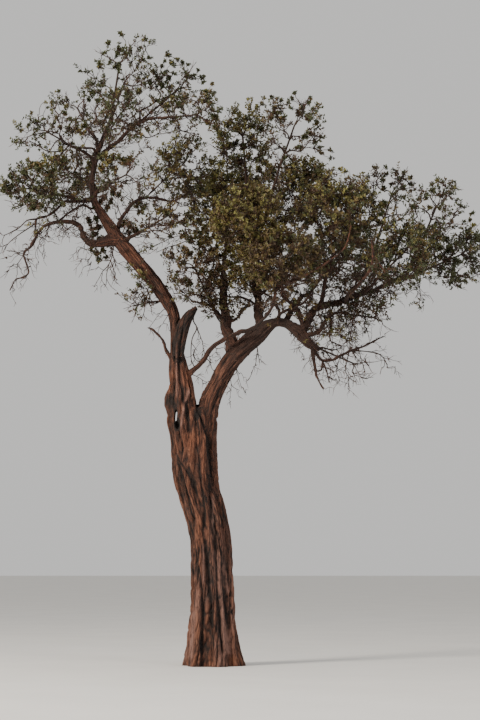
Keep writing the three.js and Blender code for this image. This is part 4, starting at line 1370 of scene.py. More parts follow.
# Branches and dead twigs that show singly, in millimetres: the places each passes, its radii at foot and tip,
# how many side twigs it has, and the share of their sprays that have leaves
branches = [
    # above the bare left bough
    ([[-1890, -20, 8005], [-1915, -50, 8105], [-2040, -80, 8115], [-2170, -100, 8120], [-2390, -160, 8175],
        [-2415, -180, 8275], [-2515, -210, 8340], [-2800, -270, 8365], [-2915, -300, 8335],
        [-3015, -350, 8190]], (26, 5), 12, 0.7),
    ([[-2320, -80, 8155], [-2410, -200, 8005], [-2570, -450, 7745]], (14, 5), 6, 0.7),
    ([[-2410, -200, 8005], [-2605, -350, 8005], [-2745, -400, 8085], [-2895, -450, 8155]], (12, 5), 5, 0.6),
    ([[-2080, 0, 7250], [-2260, -30, 7265], [-2365, -60, 7260], [-2460, -130, 7145], [-2610, -190, 7015],
        [-2775, -250, 6955], [-2795, -290, 6870], [-2800, -350, 6700]], (32, 16), 8, 0.25),
    ([[-1950, 0, 7155], [-2050, -40, 7205], [-2125, -70, 7185], [-2290, -140, 7065], [-2450, -210, 6920],
        [-2550, -250, 6880]], (28, 14), 6, 0.2),
    ([[-2770, -250, 6955], [-2920, -350, 6910], [-3030, -400, 6795], [-3130, -420, 6730],
        [-3275, -460, 6655], [-3325, -470, 6700]], (15, 6), 4, 0),
    ([[-2790, -300, 6885], [-2890, -380, 6785], [-3050, -450, 6660], [-3195, -520, 6515],
        [-3240, -550, 6420]], (12, 5), 4, 0),
    ([[-2800, -350, 6690], [-2850, -370, 6495], [-2965, -390, 6395], [-2940, -410, 6275],
        [-2880, -440, 6075], [-2975, -460, 5995], [-3085, -480, 5950], [-3160, -500, 5790]], (26, 10),
        7, 0),
    ([[-1475, 0, 6640], [-1560, -60, 6600], [-1600, -90, 6440], [-1570, -110, 6290], [-1640, -120, 6160]],
        (13, 4), 8, 0.1),
    ([[-1415, 60, 7130], [-1290, 80, 7265], [-1165, 90, 7335], [-1000, 90, 7350], [-830, 80, 7320],
        [-690, 70, 7290], [-545, 60, 7340], [-385, 60, 7450]], (36, 15), 12, 0.5),
    ([[185, 200, 5855], [265, 200, 6125], [325, 150, 6360], [375, 100, 6575]], (22, 6), 10, 0.9),
    ([[-5, -100, 6290], [-145, -100, 6515], [-240, -100, 6705], [-290, -100, 6925]], (20, 6), 9, 0.9),
    ([[660, 100, 5715], [565, 50, 5960], [500, 0, 6180], [440, 0, 6400]], (22, 6), 9, 0.9),
    ([[760, 300, 7270], [790, 300, 7545], [740, 300, 7805], [695, 300, 8065]], (22, 6), 9, 0.9),
    ([[-330, 100, 7330], [-400, 60, 7480], [-440, 30, 7620]], (14, 5), 6, 0.9),
    ([[-1636, -110, 6290], [-1700, -115, 6190], [-1755, -120, 6135], [-1800, -125, 6040],
        [-1850, -130, 5960]], (9, 4), 3, 0),
    ([[-1620, -110, 6300], [-1590, -110, 6200], [-1560, -115, 6100], [-1575, -120, 5990]], (9, 4), 2, 0),
    ([[-1636, -110, 6270], [-1680, -110, 6150], [-1690, -115, 6030], [-1620, -120, 5900],
        [-1535, -125, 5830]], (8, 4), 1, 0),
    ([[-1425, 0, 6690], [-1250, -60, 6740], [-1010, -100, 6785], [-855, -120, 6780], [-665, -150, 6695]],
        (20, 6), 9, 0.35),
    ([[-855, 0, 5655], [-945, -20, 5640], [-1010, -40, 5725], [-1040, -50, 5835], [-1105, -60, 5930],
        [-1185, -70, 5995]], (16, 4), 7, 0.9),
    ([[-1040, -50, 5820], [-1150, -70, 5800], [-1225, -90, 5690], [-1305, -100, 5610]], (9, 4), 4, 0.8),
    ([[-1055, -50, 5820], [-1080, -60, 5645], [-1100, -60, 5505], [-1150, -60, 5360]], (9, 5), 2, 0),
    ([[-805, 0, 5540], [-900, -30, 5425], [-975, -50, 5315], [-1025, -60, 5250]], (7, 3), 2, 0),
    # the top
    ([[-1655, 60, 8605], [-1585, 30, 8760], [-1545, 10, 8875], [-1715, -20, 8870], [-1820, -50, 8985],
        [-1885, -70, 9150], [-1895, -100, 9215]], (24, 5), 9, 0.7),
    ([[-1550, 10, 8880], [-1525, 80, 9000], [-1460, 120, 9185], [-1410, 140, 9285], [-1305, 160, 9395],
        [-1200, 190, 9595], [-1085, 230, 9835], [-1060, 250, 9910]], (20, 4), 9, 0.5),
    ([[-1300, 165, 9400], [-1325, 220, 9565], [-1325, 250, 9705]], (9, 4), 4, 0.6),
    ([[-1205, 190, 9590], [-1235, 250, 9775], [-1250, 280, 9920]], (8, 3), 3, 0.3),
    ([[-1460, 120, 9185], [-1280, 190, 9180], [-1150, 220, 9240], [-1045, 260, 9300], [-940, 300, 9390]],
        (14, 4), 7, 0.7),
    ([[-1275, 190, 9185], [-1190, 230, 9320], [-1170, 270, 9425], [-1125, 300, 9530]], (8, 3), 4, 0.3),
    ([[-1255, 330, 8570], [-1205, 360, 8670], [-1195, 380, 8815], [-1075, 410, 8890], [-920, 460, 9010],
        [-810, 490, 9055], [-680, 520, 9145], [-600, 550, 9235], [-510, 600, 9410]], (26, 5), 10, 0.7),
    ([[-915, 460, 9010], [-875, 440, 9110], [-935, 470, 9215], [-960, 500, 9330]], (12, 4), 5, 0.6),
    ([[-1205, 340, 8665], [-1070, 350, 8700], [-955, 380, 8665], [-885, 400, 8560], [-770, 430, 8590],
        [-635, 450, 8665], [-410, 500, 8800]], (17, 5), 8, 0.6),
    ([[-1070, 350, 8700], [-860, 380, 8785], [-730, 420, 8890], [-595, 450, 8950]], (10, 4), 5, 0.6),
    ([[-1205, 340, 8630], [-1290, 250, 8690], [-1370, 200, 8820], [-1385, 200, 8880]], (9, 4), 4, 0.3),
    ([[-1310, 150, 8375], [-1195, 160, 8385], [-1065, 200, 8340], [-935, 240, 8400], [-760, 270, 8435],
        [-565, 350, 8520]], (13, 4), 6, 0.4),
    # between the leader and the right great bough
    ([[-130, -100, 6695], [-345, -80, 6685], [-485, -70, 6715], [-655, -50, 6690], [-865, -20, 6595],
        [-980, 0, 6530]], (11, 3), 7, 0.25),
    ([[-355, -100, 6640], [-540, -80, 6585], [-680, -50, 6550], [-765, -20, 6525], [-810, 0, 6470]], (9, 3),
        5, 0.2),
    ([[165, 180, 5390], [105, 180, 5455], [10, 160, 5580], [-65, 140, 5620], [-205, 110, 5660],
        [-345, 90, 5700], [-430, 70, 5755], [-540, 40, 5810], [-655, 20, 5800]], (26, 6), 10, 0.35),
    ([[-205, 110, 5660], [-205, 120, 5690], [-160, 100, 5760], [-105, 80, 5870], [-90, 50, 6010]], (14, 6),
        5, 0.6),
    ([[170, 130, 5320], [140, 100, 5425], [115, 70, 5630], [105, 70, 5870], [120, 80, 6110], [75, 90, 6320],
        [25, 90, 6540]], (40, 14), 8, 0.6),
    ([[675, 170, 5625], [565, 120, 5700], [405, 100, 5760], [265, 90, 5760], [120, 70, 5790]], (32, 12),
        6, 0.3),
    ([[265, 130, 5335], [345, 120, 5415], [515, 130, 5620], [580, 150, 5720]], (26, 14), 4, 0.3),
    ([[740, 150, 5785], [785, 80, 5840], [850, 40, 5895], [940, 0, 5925], [1035, -40, 5935],
        [1175, -80, 6005]], (34, 12), 6, 0.4),
    ([[770, 120, 5555], [815, 60, 5645], [845, 20, 5735], [940, -20, 5745], [1035, -50, 5710],
        [1130, -80, 5640]], (18, 8), 4, 0.3),
    ([[975, 0, 5400], [1035, -60, 5470], [1160, -110, 5530], [1250, -140, 5555], [1395, -170, 5630],
        [1535, -200, 5770]], (34, 14), 7, 0.4),
    ([[1350, 0, 5300], [1300, -60, 5505], [1190, -90, 5640], [1095, -110, 5815], [1050, -120, 5970],
        [1095, -120, 6160]], (32, 12), 8, 0.5),
    ([[60, 150, 5430], [10, 90, 5575], [-60, 20, 5750], [-105, -40, 5810], [-160, -100, 5900]], (20, 8),
        7, 0.6),
    ([[165, 180, 5290], [65, 160, 5410], [-5, 140, 5535], [-65, 120, 5635], [-145, 100, 5760]], (18, 6),
        6, 0.6),
    ([[-310, -110, 5530], [-325, -130, 5360], [-270, -150, 5235], [-345, -150, 5060], [-360, -140, 4775],
        [-320, -120, 4645]], (13, 6), 3, 0),
    ([[-270, -150, 5235], [-215, -130, 5110], [-175, -120, 4980], [-175, -120, 4800]], (9, 3), 4, 0),
    ([[-350, 0, 4520], [-250, -60, 4475], [-110, -90, 4380]], (8, 3), 4, 0),
    # lit boughs in front of the right masses
    ([[2040, 150, 5720], [2060, -300, 5660], [2065, -800, 5675], [2150, -1150, 5720], [2240, -1420, 5805],
        [2335, -1620, 5925], [2390, -1740, 6120], [2370, -1780, 6340]], (44, 18), 3, 0.5),
    ([[2390, -1740, 6120], [2445, -1760, 6070], [2565, -1760, 5890]], (16, 8), 2, 0.5),
    ([[1075, -1100, 5800], [1245, -1500, 5805], [1475, -1780, 5900], [1725, -1850, 6040],
        [1965, -1850, 6250], [2060, -1780, 6580]], (26, 11), 4, 0.5),
    # over the arch of the right great bough
    ([[1025, 0, 5380], [1020, -40, 5525], [980, -60, 5580], [925, -80, 5690], [840, -90, 5770],
        [700, -90, 5820], [560, -90, 5810]], (30, 16), 5, 0.3),
    ([[1370, 0, 5250], [1345, -40, 5485], [1260, -80, 5595], [1145, -120, 5675], [1075, -170, 5750],
        [1060, -250, 5910]], (40, 26), 7, 0.3),
    ([[1060, -250, 5910], [1255, -320, 5985], [1390, -400, 6070], [1665, -550, 6230], [1800, -620, 6290],
        [2025, -700, 6445]], (22, 8), 10, 0.7),
    ([[1060, -250, 5910], [1115, -280, 5990], [1200, -300, 6085], [1270, -320, 6210], [1340, -300, 6500],
        [1260, -200, 6800], [1330, -100, 7150]], (24, 7), 18, 0.9),
    ([[1060, -250, 5910], [950, -220, 5970], [835, -200, 5975], [695, -180, 5950], [530, -150, 5910],
        [390, -120, 5840], [205, -100, 5760]], (20, 6), 10, 0.5),
    ([[1065, -240, 5870], [975, -220, 5885], [865, -200, 5880], [755, -180, 5805], [695, -150, 5670]],
        (16, 6), 7, 0.5),
    ([[700, 150, 5650], [685, 120, 5790], [755, 80, 5930], [925, 50, 6025]], (26, 12), 8, 0.8),
    # hanging on the right
    ([[1835, 95, 5560], [1835, 40, 5445], [1845, 10, 5285], [1815, -10, 5085], [1880, -40, 5015],
        [1995, -60, 4975]], (13, 5), 7, 0),
    ([[2060, 150, 5700], [2160, 60, 5525], [2185, 20, 5360], [2140, -20, 5175], [2155, -60, 5090],
        [2135, -100, 4930]], (15, 6), 12, 0.1),
    ([[1570, 0, 4925], [1740, 10, 4940], [1845, 20, 4910], [1970, 20, 4940], [2090, 10, 5070],
        [2120, 0, 5225]], (18, 7), 4, 0),
    ([[1830, 0, 5430], [1820, -20, 5080], [1900, -30, 5015], [1985, -40, 4975]], (13, 6), 5, 0),
    ([[1530, -10, 5000], [1585, -30, 4875], [1685, -60, 4745], [1840, -90, 4740], [1980, -110, 4810],
        [2150, -140, 4885], [2330, -170, 4945], [2500, -200, 5030], [2640, -220, 5095]], (36, 13), 12, 0),
    ([[2150, -140, 4885], [2430, -150, 4865], [2585, -150, 4825], [2670, -150, 4735], [2705, -150, 4640]],
        (16, 7), 8, 0),
    ([[1505, -20, 4960], [1565, -40, 4715], [1595, -50, 4570], [1610, -60, 4475], [1705, -80, 4295]],
        (40, 17), 3, 0),
    ([[1685, -60, 4745], [1690, -70, 4650], [1675, -80, 4585], [1610, -80, 4570]], (24, 17), 1, 0),
    ([[1700, -60, 4745], [1720, -60, 4680], [1770, -80, 4540], [1800, -100, 4395]], (20, 13), 2, 0),
    ([[1675, -60, 4640], [1785, -80, 4610], [1875, -100, 4560]], (15, 9), 1, 0),
    ([[1980, -110, 4810], [1925, -110, 4640], [1915, -130, 4560], [1965, -140, 4390]], (8, 3), 6, 0),
    ([[2110, -135, 4870], [2070, -130, 4690], [2055, -140, 4560], [2105, -150, 4445], [2090, -160, 4285]],
        (11, 5), 8, 0),
    ([[2265, -160, 4930], [2300, -180, 4740], [2350, -200, 4555]], (8, 3), 5, 0),
    # under the right great bough
    ([[670, -40, 5010], [675, -60, 4870], [650, -90, 4680], [580, -110, 4535]], (9, 3), 4, 0),
    ([[690, -40, 5020], [690, -60, 4855], [710, -80, 4695]], (8, 3), 2, 0),
    ([[330, -40, 4670], [360, -60, 4550], [435, -90, 4285]], (9, 3), 5, 0),
    ([[235, -40, 4540], [265, -60, 4400], [250, -80, 4160]], (8, 3), 4, 0),
]
# More of them by rule: the limb, from and to which share of it, how many, how long, and the leafy share
branchRows = [
    ("cross", 0.15, 0.6, 7, (200, 520), 0),
    ("left_leader", 0.30, 0.44, 4, (160, 360), 0),
    ("bare_left", 0.15, 0.95, 12, (200, 560), 0),
    ("right_high", 0.25, 0.7, 10, (220, 520), 0.2),
    ("right_hanging", 0.1, 1.0, 14, (240, 560), 0.1),
    ("far_right", 0.1, 0.9, 12, (240, 560), 0.2),
    ("bare_right", 0.3, 1.0, 5, (240, 480), 0),
    ("far_left", 0.2, 1.0, 9, (260, 620), 0.1),
]
sideValues = {
    "spacing": 45,  # between the points of a branch's line
    "leastPoints": 8, "sides": 6, "thickSides": 9, "points": 7, "twigSides": 4, "from": 0.2,
    "spread": (0.3, 0.7), "ahead": 0.04, "turnStray": 2, "forward": 0.7, "length": (110, 400),
    "fullLength": 700,  # a shorter branch has shorter side twigs
    "leastLength": 0.4, "radii": (6, 2.6), "footShare": 0.7, "bend": 0.18, "sprays": 5, "bareSprays": 2,
    "sprayLength": (50, 170), "aside": 0.9, "sprayLift": 0.5, "luck": 0.9, "boughRadius": 15,
    "leafy": 0.3,  # above this share its twigs rise, else they hang
    "upright": 0.35, "hanging": -0.35, "left": -3440,
    "strength": 0.8,  # what carries a branch has at least this share of its radius
    "near": 90,  # a branch that starts this near to its carrier loses its first place
    "seed": 77, "rowFoot": 0.6, "rowHang": (0.7, 0.6), "rowForward": 0.4, "rowRadii": (8, 2.6),
    "rowTwigs": 3,
}


# Heads of leaves that show singly at the crown's edge: where the picture shows each, across and down, and how
# wide it spreads there. Each goes to the depth of its mass, on a twig from the nearest limb.
headValues = {
    "top": [(121, 34, 3.4), (108, 44, 4), (106, 53, 2.6), (118, 43, 1.5), (120, 51, 4.5), (124, 54, 2.4),
        (117, 57, 2.6), (131, 50, 2.6), (99, 66, 4.2), (97, 61, 2), (117, 66, 5.2), (111, 63, 2.8),
        (144, 40, 1.8), (144, 61, 2.8), (150, 58, 2.4), (149, 64, 1.6)],
    "upper_right": [(168, 55, 3.8), (165, 60, 2), (177, 60, 2.6), (182, 64, 3), (172, 64, 4), (162, 66, 3),
        (187, 65, 2), (153, 72, 3.4), (165, 72, 3.5), (175, 73, 2.6), (186, 76, 4.2), (193, 77, 3.5),
        (198, 72, 1.8), (202, 78, 3.2), (204, 82, 2.4), (158, 79, 4), (169, 79, 4), (151, 82, 3.4),
        (162, 87, 4), (171, 88, 4.5), (145, 84, 3), (213, 84, 2.5), (214, 95, 3)],
    "inner_right": [(172, 97, 3), (183, 98, 2.6), (168, 106, 4), (178, 105, 3), (206, 91, 3), (208, 97, 3),
        (211, 105, 3.5), (206, 101, 3), (213, 110, 3), (219, 112, 2.5), (214, 118, 5), (208, 122, 4),
        (216, 128, 4)],
    "back_left": [(92, 94, 4.5), (98, 91, 3), (101, 84, 3), (92, 86, 2), (116, 94, 5.5), (127, 93, 5),
        (139, 92, 4.6), (88, 100, 3), (97, 101, 4)],
    "left_high": [(58, 93, 2.4), (52, 103, 3.4), (44, 102, 1.5), (46, 108, 1.6), (64, 114, 3.4),
        (66, 107, 2.3), (53, 111, 1.6), (57, 119, 2), (32, 114, 1.8), (48, 117, 1.5), (36, 122, 2.5),
        (42, 120, 2.4), (37, 127, 2.4), (43, 125, 2.4), (29, 126, 1.8), (60, 128, 3), (55, 123, 2),
        (70, 119, 2.5), (76, 121, 3), (70, 132, 4), (76, 128, 3.5), (84, 126, 4)],
    "far_left": [(34, 165, 4), (28, 161, 2), (29, 168, 3), (42, 165, 3), (11, 177, 4), (5, 183, 3),
        (17, 143, 1.6), (5, 190, 4), (11, 188, 4), (17, 192, 4), (24, 190, 4), (36, 205, 4), (30, 198, 4),
        (4, 189, 5), (9, 195, 5), (33, 208, 5), (40, 207, 5)],
    "low_centre_left": [(168, 214, 6), (176, 218, 5), (172, 224, 4), (160, 212, 4), (184, 236, 5),
        (190, 241, 5), (185, 250, 5), (190, 255, 5)],
    "left_low": [(100, 158, 4), (108, 163, 5), (118, 158, 4), (126, 165, 5), (102, 168, 5), (114, 171, 5),
        (105, 156, 5), (112, 158, 5), (122, 162, 5), (129, 160, 5)],
    "high_centre": [(234, 113, 3), (240, 114, 2.5), (227, 126, 2.5), (237, 119, 2.5), (236, 129, 3),
        (245, 120, 4), (252, 126, 4.5), (260, 129, 5), (253, 98, 1.6), (247, 100, 2), (263, 99, 2.4),
        (262, 104, 3), (257, 107, 2.6), (222, 136, 5), (228, 146, 5), (235, 144, 5), (243, 148, 5),
        (248, 158, 5), (242, 162, 5)],
    "high_right": [(270, 98, 3), (277, 98, 2.6), (281, 101, 2.5), (275, 107, 3), (288, 103, 2.6),
        (294, 93, 3), (293, 99, 2.6), (291, 108, 2.5), (310, 99, 3), (308, 104, 3), (303, 108, 3),
        (313, 110, 2.6), (298, 114, 4.5), (309, 119, 4.5), (316, 123, 4), (310, 133, 4.5), (305, 138, 4),
        (276, 115, 6), (282, 120, 5), (314, 142, 2.2), (320, 148, 3), (322, 154, 2.5), (331, 151, 2.5),
        (331, 158, 2.5), (298, 148, 4)],
    "right_high": [(375, 168, 2.2), (385, 168, 2), (386, 175, 3), (383, 181, 3), (383, 188, 3.5),
        (392, 184, 3), (368, 176, 2), (405, 173, 3), (410, 178, 3), (411, 185, 3.5), (404, 188, 3.5),
        (404, 197, 3), (400, 180, 3), (360, 178, 1.6), (362, 187, 3), (340, 170, 3), (345, 173, 2.5),
        (304, 162, 3)],
    "right_tip_high": [(432, 184, 3), (438, 182, 2.5), (432, 191, 3.5), (427, 197, 3), (445, 181, 2),
        (452, 182, 1.8), (455, 188, 2), (457, 201, 2.5), (461, 207, 2.4), (440, 209, 2.5), (430, 208, 3)],
    "far_right": [(472, 214, 3), (470, 220, 2.4), (464, 222, 2), (474, 226, 3), (468, 232, 2.5),
        (452, 222, 2.2), (453, 228, 2), (438, 236, 4), (446, 240, 5), (440, 248, 5), (450, 250, 5),
        (457, 262, 5), (447, 262, 5), (440, 258, 4), (452, 270, 4), (434, 228, 3)],
    "leader_left": [(88, 219, 3), (90, 223, 4), (96, 219, 4), (99, 227, 5), (93, 230, 4), (124, 224, 4),
        (131, 226, 5), (136, 232, 5), (128, 233, 4), (141, 228, 3), (92, 250, 4), (97, 254, 5),
        (103, 251, 4), (99, 260, 4), (106, 257, 3), (98, 190, 5), (106, 187, 5), (113, 192, 5),
        (104, 198, 5), (112, 202, 4), (119, 196, 4), (99, 204, 4), (96, 208, 5), (108, 208, 5),
        (94, 236, 5), (100, 240, 5)],
    "left_mid": [(77, 130, 4), (83, 134, 4), (88, 129, 3), (34, 190, 5), (40, 195, 4), (46, 189, 4)],
    "centre_left": [(184, 174, 5), (191, 178, 5), (186, 183, 4), (200, 189, 5), (206, 194, 5),
        (214, 160, 5), (221, 164, 5), (183, 222, 5), (191, 219, 5), (199, 222, 6), (187, 214, 4),
        (138, 205, 5), (144, 208, 5), (140, 213, 4)],
    "low_centre": [(200, 255, 5), (207, 262, 5), (213, 255, 5), (203, 272, 5), (212, 275, 5), (220, 268, 5),
        (196, 262, 4), (209, 284, 4), (218, 283, 4), (205, 230, 6), (197, 236, 6), (208, 240, 6),
        (216, 236, 6), (201, 245, 5), (230, 250, 6), (238, 256, 6), (229, 264, 6), (237, 270, 6),
        (246, 266, 6), (250, 275, 6), (232, 278, 5), (243, 282, 5), (214, 250, 6), (221, 254, 6),
        (184, 280, 5), (190, 284, 4)],
    "back_centre": [(258, 160, 5), (265, 163, 5), (259, 170, 5), (266, 176, 5), (257, 180, 5),
        (271, 169, 5)],
    "right_front": [(380, 222, 5), (386, 228, 4), (384, 250, 5), (391, 254, 4), (379, 207, 5),
        (385, 205, 5), (381, 213, 5), (395, 249, 5), (401, 253, 5)],
    "centre_right": [(303, 218, 6), (309, 222, 6), (304, 227, 5), (312, 217, 5)],
}
headLook = {
    "seed": 31,
    "pixel": 15.7,  # millimetres at the tree for each point of the picture
    "depth": 0.7, "leaf": 20, "least": 24, "sprays": 0.5, "scatter": 1.5, "length": 60, "luck": 0.7,
    "radii": (8, 3.5), "bend": 0.14, "points": 8, "sides": 4,
}


def seenAt(across, down, depth):  # the place seen at a point of the picture, at a depth, in millimetres
    values = cameraValues
    pitch = values["pitch"]
    wide, high = values["picture"]
    far = high * values["lens"] / values["sensor"]
    rise = high / 2 - down
    way = Vector((across - wide / 2, far * math.cos(pitch) - rise * math.sin(pitch),
                  far * math.sin(pitch) + rise * math.cos(pitch)))
    camera = Vector(values["place"]) / mm
    return camera + way * ((depth - camera.y) / way.y)


def growHeads(carriers, bars, sprays):
    values = headLook
    draw = seeded(values["seed"])
    for name, heads in headValues.items():
        space = spaces[name]
        for across, down, wide in heads:
            depth = space.middle.y + (draw() - 0.5) * space.spread.y * values["depth"]
            middle = seenAt(across, down, depth)
            start, foot = carriers.rooted([middle, middle], values["radii"][0])[:2]
            twig = crookedTwig(start, foot, (foot - start).normalized(), draw, values["bend"])
            bars["bare"].append(twigBar(twig, *values["radii"], values["points"], values["sides"]))
            reach = max(wide * values["pixel"] - values["leaf"], values["least"])
            for _ in range(max(1, round(wide * wide * values["sprays"]))):
                aside = strayVector(draw) * reach * values["scatter"]
                way = Vector((draw() - 0.5, draw() - 0.5, draw() - 0.3)).normalized()  # more of them rise
                half = way * values["length"] / 2
                places = (middle + aside - half, middle + aside + half)
                # the mass's dim: painted shade, and painted light where below zero
                luck = draw() * values["luck"] - space.dim
                sprays.append((space.middle, space.spread, *places, way, True, luck))


class Carriers:  # points on limbs and twigs that a branch may start from, in millimetres
    def __init__(self, bars):
        self.places = np.empty((0, 3))
        self.radii = np.empty(0)
        self.add(bars)

    def add(self, bars):
        places = [tuple(place) for bar in bars for place in bar[0]]
        radii = [radius for bar in bars for radius in bar[1]]
        self.places = np.concatenate([self.places, np.array(places) / mm])
        self.radii = np.concatenate([self.radii, np.array(radii) / mm])

    def rooted(self, line, radius):  # the line, with its foot inside the nearest limb that is thick enough
        strong = np.flatnonzero(self.radii >= radius * sideValues["strength"])
        away = np.linalg.norm(self.places[strong] - np.array(line[0]), axis=1)
        foot = Vector(self.places[strong[away.argmin()]])
        return [foot] + line[1 if away.min() < sideValues["near"] else 0:]


def growBranch(line, radii, twigs, leafy, draw, bars, sprays):  # one branch, its side twigs and their sprays
    values = sideValues
    length = lineLength(line)
    thick = radii[0] >= values["boughRadius"]
    steps = max(values["leastPoints"], round(length / values["spacing"]))
    bar = twigBar(line, *radii, steps, values["thickSides" if thick else "sides"])
    bars["bough" if thick else "bare"].append(bar)
    space = min(spaces.values(), key=lambda mass: componentDivide(line[-1] - mass.middle, mass.spread).length)
    lift = up * values["upright" if leafy > values["leafy"] else "hanging"]
    reach = between((values["leastLength"], 1), min(length / values["fullLength"], 1))
    for j in range(twigs):
        share = between((values["from"], 1), (j + values["spread"][0] + draw() * values["spread"][1]) / twigs)
        foot = linePoint(line, share)
        ahead = wayAt(line, share, values["ahead"])
        aside = turnedAside(ahead, j * rule["goldenTurn"] + draw() * values["turnStray"])
        way = (ahead * values["forward"] + aside + lift).normalized()
        end = foot + way * between(values["length"], draw()) * reach
        if end.x < values["left"]:
            continue
        twig = crookedTwig(foot, end, ahead, draw, values["bend"])
        footRadius = min(values["radii"][0], radii[0] * values["footShare"])
        bars["bare"].append(twigBar(twig, footRadius, values["radii"][1], values["points"],
                                    values["twigSides"]))
        for start, side in sprayStarts(twig, way, values["sprays" if leafy else "bareSprays"], draw):
            direction = (way + side * values["aside"] + lift * values["sprayLift"]).normalized()
            tip = start + direction * between(values["sprayLength"], draw())
            isLeafy = draw() < leafy
            # the mass's dim: painted shade, and painted light where below zero
            luck = draw() * values["luck"] - space.dim
            sprays.append((space.middle, space.spread, start, tip, way, isLeafy, luck))
    return bar


def growBranches(bars, sprays):
    look = sideValues
    draw = seeded(look["seed"])
    carriers = Carriers(bars["great"] + bars["bough"] + bars["leafy"])
    for places, radii, twigs, leafy in branches:
        line = carriers.rooted([Vector(place) for place in places], radii[0])
        carriers.add([growBranch(line, radii, twigs, leafy, draw, bars, sprays)])
    for name, low, high, count, lengths, leafy in branchRows:
        limb = limbs[name]
        for i in range(count):
            k = limbPlace(limb, low, high, (i + draw()) / count)
            side = around(limb.frames[k], draw() * 2 * math.pi)
            side = (side - up * look["rowHang"][0] + limb.frames[k][2] * look["rowForward"]).normalized()
            start = limb.points[k] / mm + side * limb.radii[k] / mm * look["rowFoot"]
            way = (side - up * look["rowHang"][1] * draw()).normalized()
            line = crookedTwig(start, start + way * between(lengths, draw()), side, draw, look["bend"])
            growBranch(line, look["rowRadii"], look["rowTwigs"], leafy, draw, bars, sprays)
    growHeads(carriers, bars, sprays)


# Shader maths: a socket that can be added to, multiplied and so on
class Link:
    def __init__(self, shader, socket):
        self.shader = shader
        self.socket = socket

    def __add__(self, other):
        return self.shader.maths("ADD", self, other)

    __radd__ = __add__

    def __sub__(self, other):
        return self.shader.maths("SUBTRACT", self, other)

    def __rsub__(self, other):
        return self.shader.maths("SUBTRACT", other, self)

    def __mul__(self, other):
        return self.shader.maths("MULTIPLY", self, other)

    __rmul__ = __mul__


class Shader:
    def __init__(self, name, colour, roughness):
        self.material = bpy.data.materials.new(name)
        self.material.use_nodes = True
        self.nodes = self.material.node_tree.nodes
        self.links = self.material.node_tree.links
        self.surface = self.nodes["Principled BSDF"]
        self.surface.inputs["Base Color"].default_value = colour
        self.surface.inputs["Roughness"].default_value = roughness
        self.material.diffuse_color = colour

    def node(self, kind, settings, sockets, output=0):
        made = self.nodes.new(kind)
        for key, value in settings.items():
            if key == "stops":
                ramp = made.color_ramp.elements
                while len(ramp) < len(value):
                    ramp.new(0.5)
                for stop, (position, colour) in zip(ramp, value):
                    stop.position = position
                    stop.color = colour
            else:
                setattr(made, key, value)
        for key, value in sockets.items():
            if isinstance(value, Link):
                self.links.new(value.socket, made.inputs[key])
            else:
                made.inputs[key].default_value = value
        return Link(self, made.outputs[output])

    def maths(self, operation, first, second):
        return self.node("ShaderNodeMath", {"operation": operation}, {0: first, 1: second})

    def range(self, value, low, high, atLow, atHigh):  # a value carried from one range to another
        return self.node("ShaderNodeMapRange", {}, {0: value, 1: low, 2: high, 3: atLow, 4: atHigh})

    def mix(self, factor, first, second):
        return self.node("ShaderNodeMix", {"data_type": "RGBA"}, {0: factor, 6: first, 7: second}, 2)

    def noiseOf(self, place, scale, detail, roughness=0.5):
        sockets = {"Vector": place, "Scale": scale, "Detail": detail, "Roughness": roughness}
        return self.node("ShaderNodeTexNoise", {}, sockets)

    def ramp(self, value, stops):
        return self.node("ShaderNodeValToRGB", {"stops": stops}, {0: value}, "Color")

    def attribute(self, name, output="Fac"):
        return self.node("ShaderNodeAttribute", {"attribute_name": name}, {}, output)

    def place(self):
        return self.node("ShaderNodeTexCoord", {}, {}, "Object")

    def feed(self, socket, value):
        self.links.new(value.socket, self.surface.inputs[socket])


def paint(colour):  # from 0 to 255, as a screen shows it, to the shader's own scale
    def toLinear(value):
        value /= 255
        return value / 12.92 if value < 0.04045 else ((value + 0.055) / 1.055) ** 2.4

    return (*[toLinear(value) for value in colour], 1)


# Ranges hold where a change starts and ends, and the strength at both
barkPaint = {
    "furrow": (22, 11, 6),
    "wood": (69, 38, 24),
    "ridge": (112, 70, 50),
    "flake": (136, 97, 76),
    "weathered": (124, 93, 83),
    "shaded": (38, 22, 14),
    "rust": (122, 70, 44),
    "stops": (0.14, 0.50, 1.0),  # of the bark's height, where furrow, wood and ridge have their colours; the dark furrow end holds painted shade
    "roughness": 0.92,
    "fibreScale": 30,
    "fibreDrawn": (1, 1, 0.12),
    "fibres": 1.0,
    "flakeScale": 32,
    "flakeDrawn": (1, 1, 0.24),
    "flakeRoughness": 0.65,
    "flakes": 0.9,
    "flakeRange": (0.58, 0.68, 0, 0.6),
    "pitRange": (0.34, 0.42, 0.35, 0),
    "plateScale": 18,
    "crackRange": (0.0, 0.14, 1, 0),
    "cracks": 0.2,
    "patchScale": 1.7,
    "patchRange": (0.52, 0.68, 0, 0.4),
    "stripScale": 5.5,
    "stripRange": (0.47, 0.58, 0, 1),
    "footRange": (0, 2.6, 0.9, 0.1),
    "highRange": (6.7, 7.4, 0, 0.8),  # painted shade: the leader is darker where it runs into the crown's shade
    "underRange": (4.0, 4.9, 0, 0.8),  # and painted shade on the right great bough under the crown
    "rightRange": (-0.2, 0.5, 0, 1),
    "frontRange": (-1.5, -0.8, 0.15, 1),  # boughs at the front of the crown are lit
    "bump": {"Strength": 0.9, "Distance": 0.02},
    "bumpFlakes": 1.2,
    "bumpCracks": 0.5,
}
# lesser boughs get painted shade from 4.2 m up, in the crown's shade
boughPaint = barkPaint | {"highRange": (4.2, 5.4, 0, 0.74)}


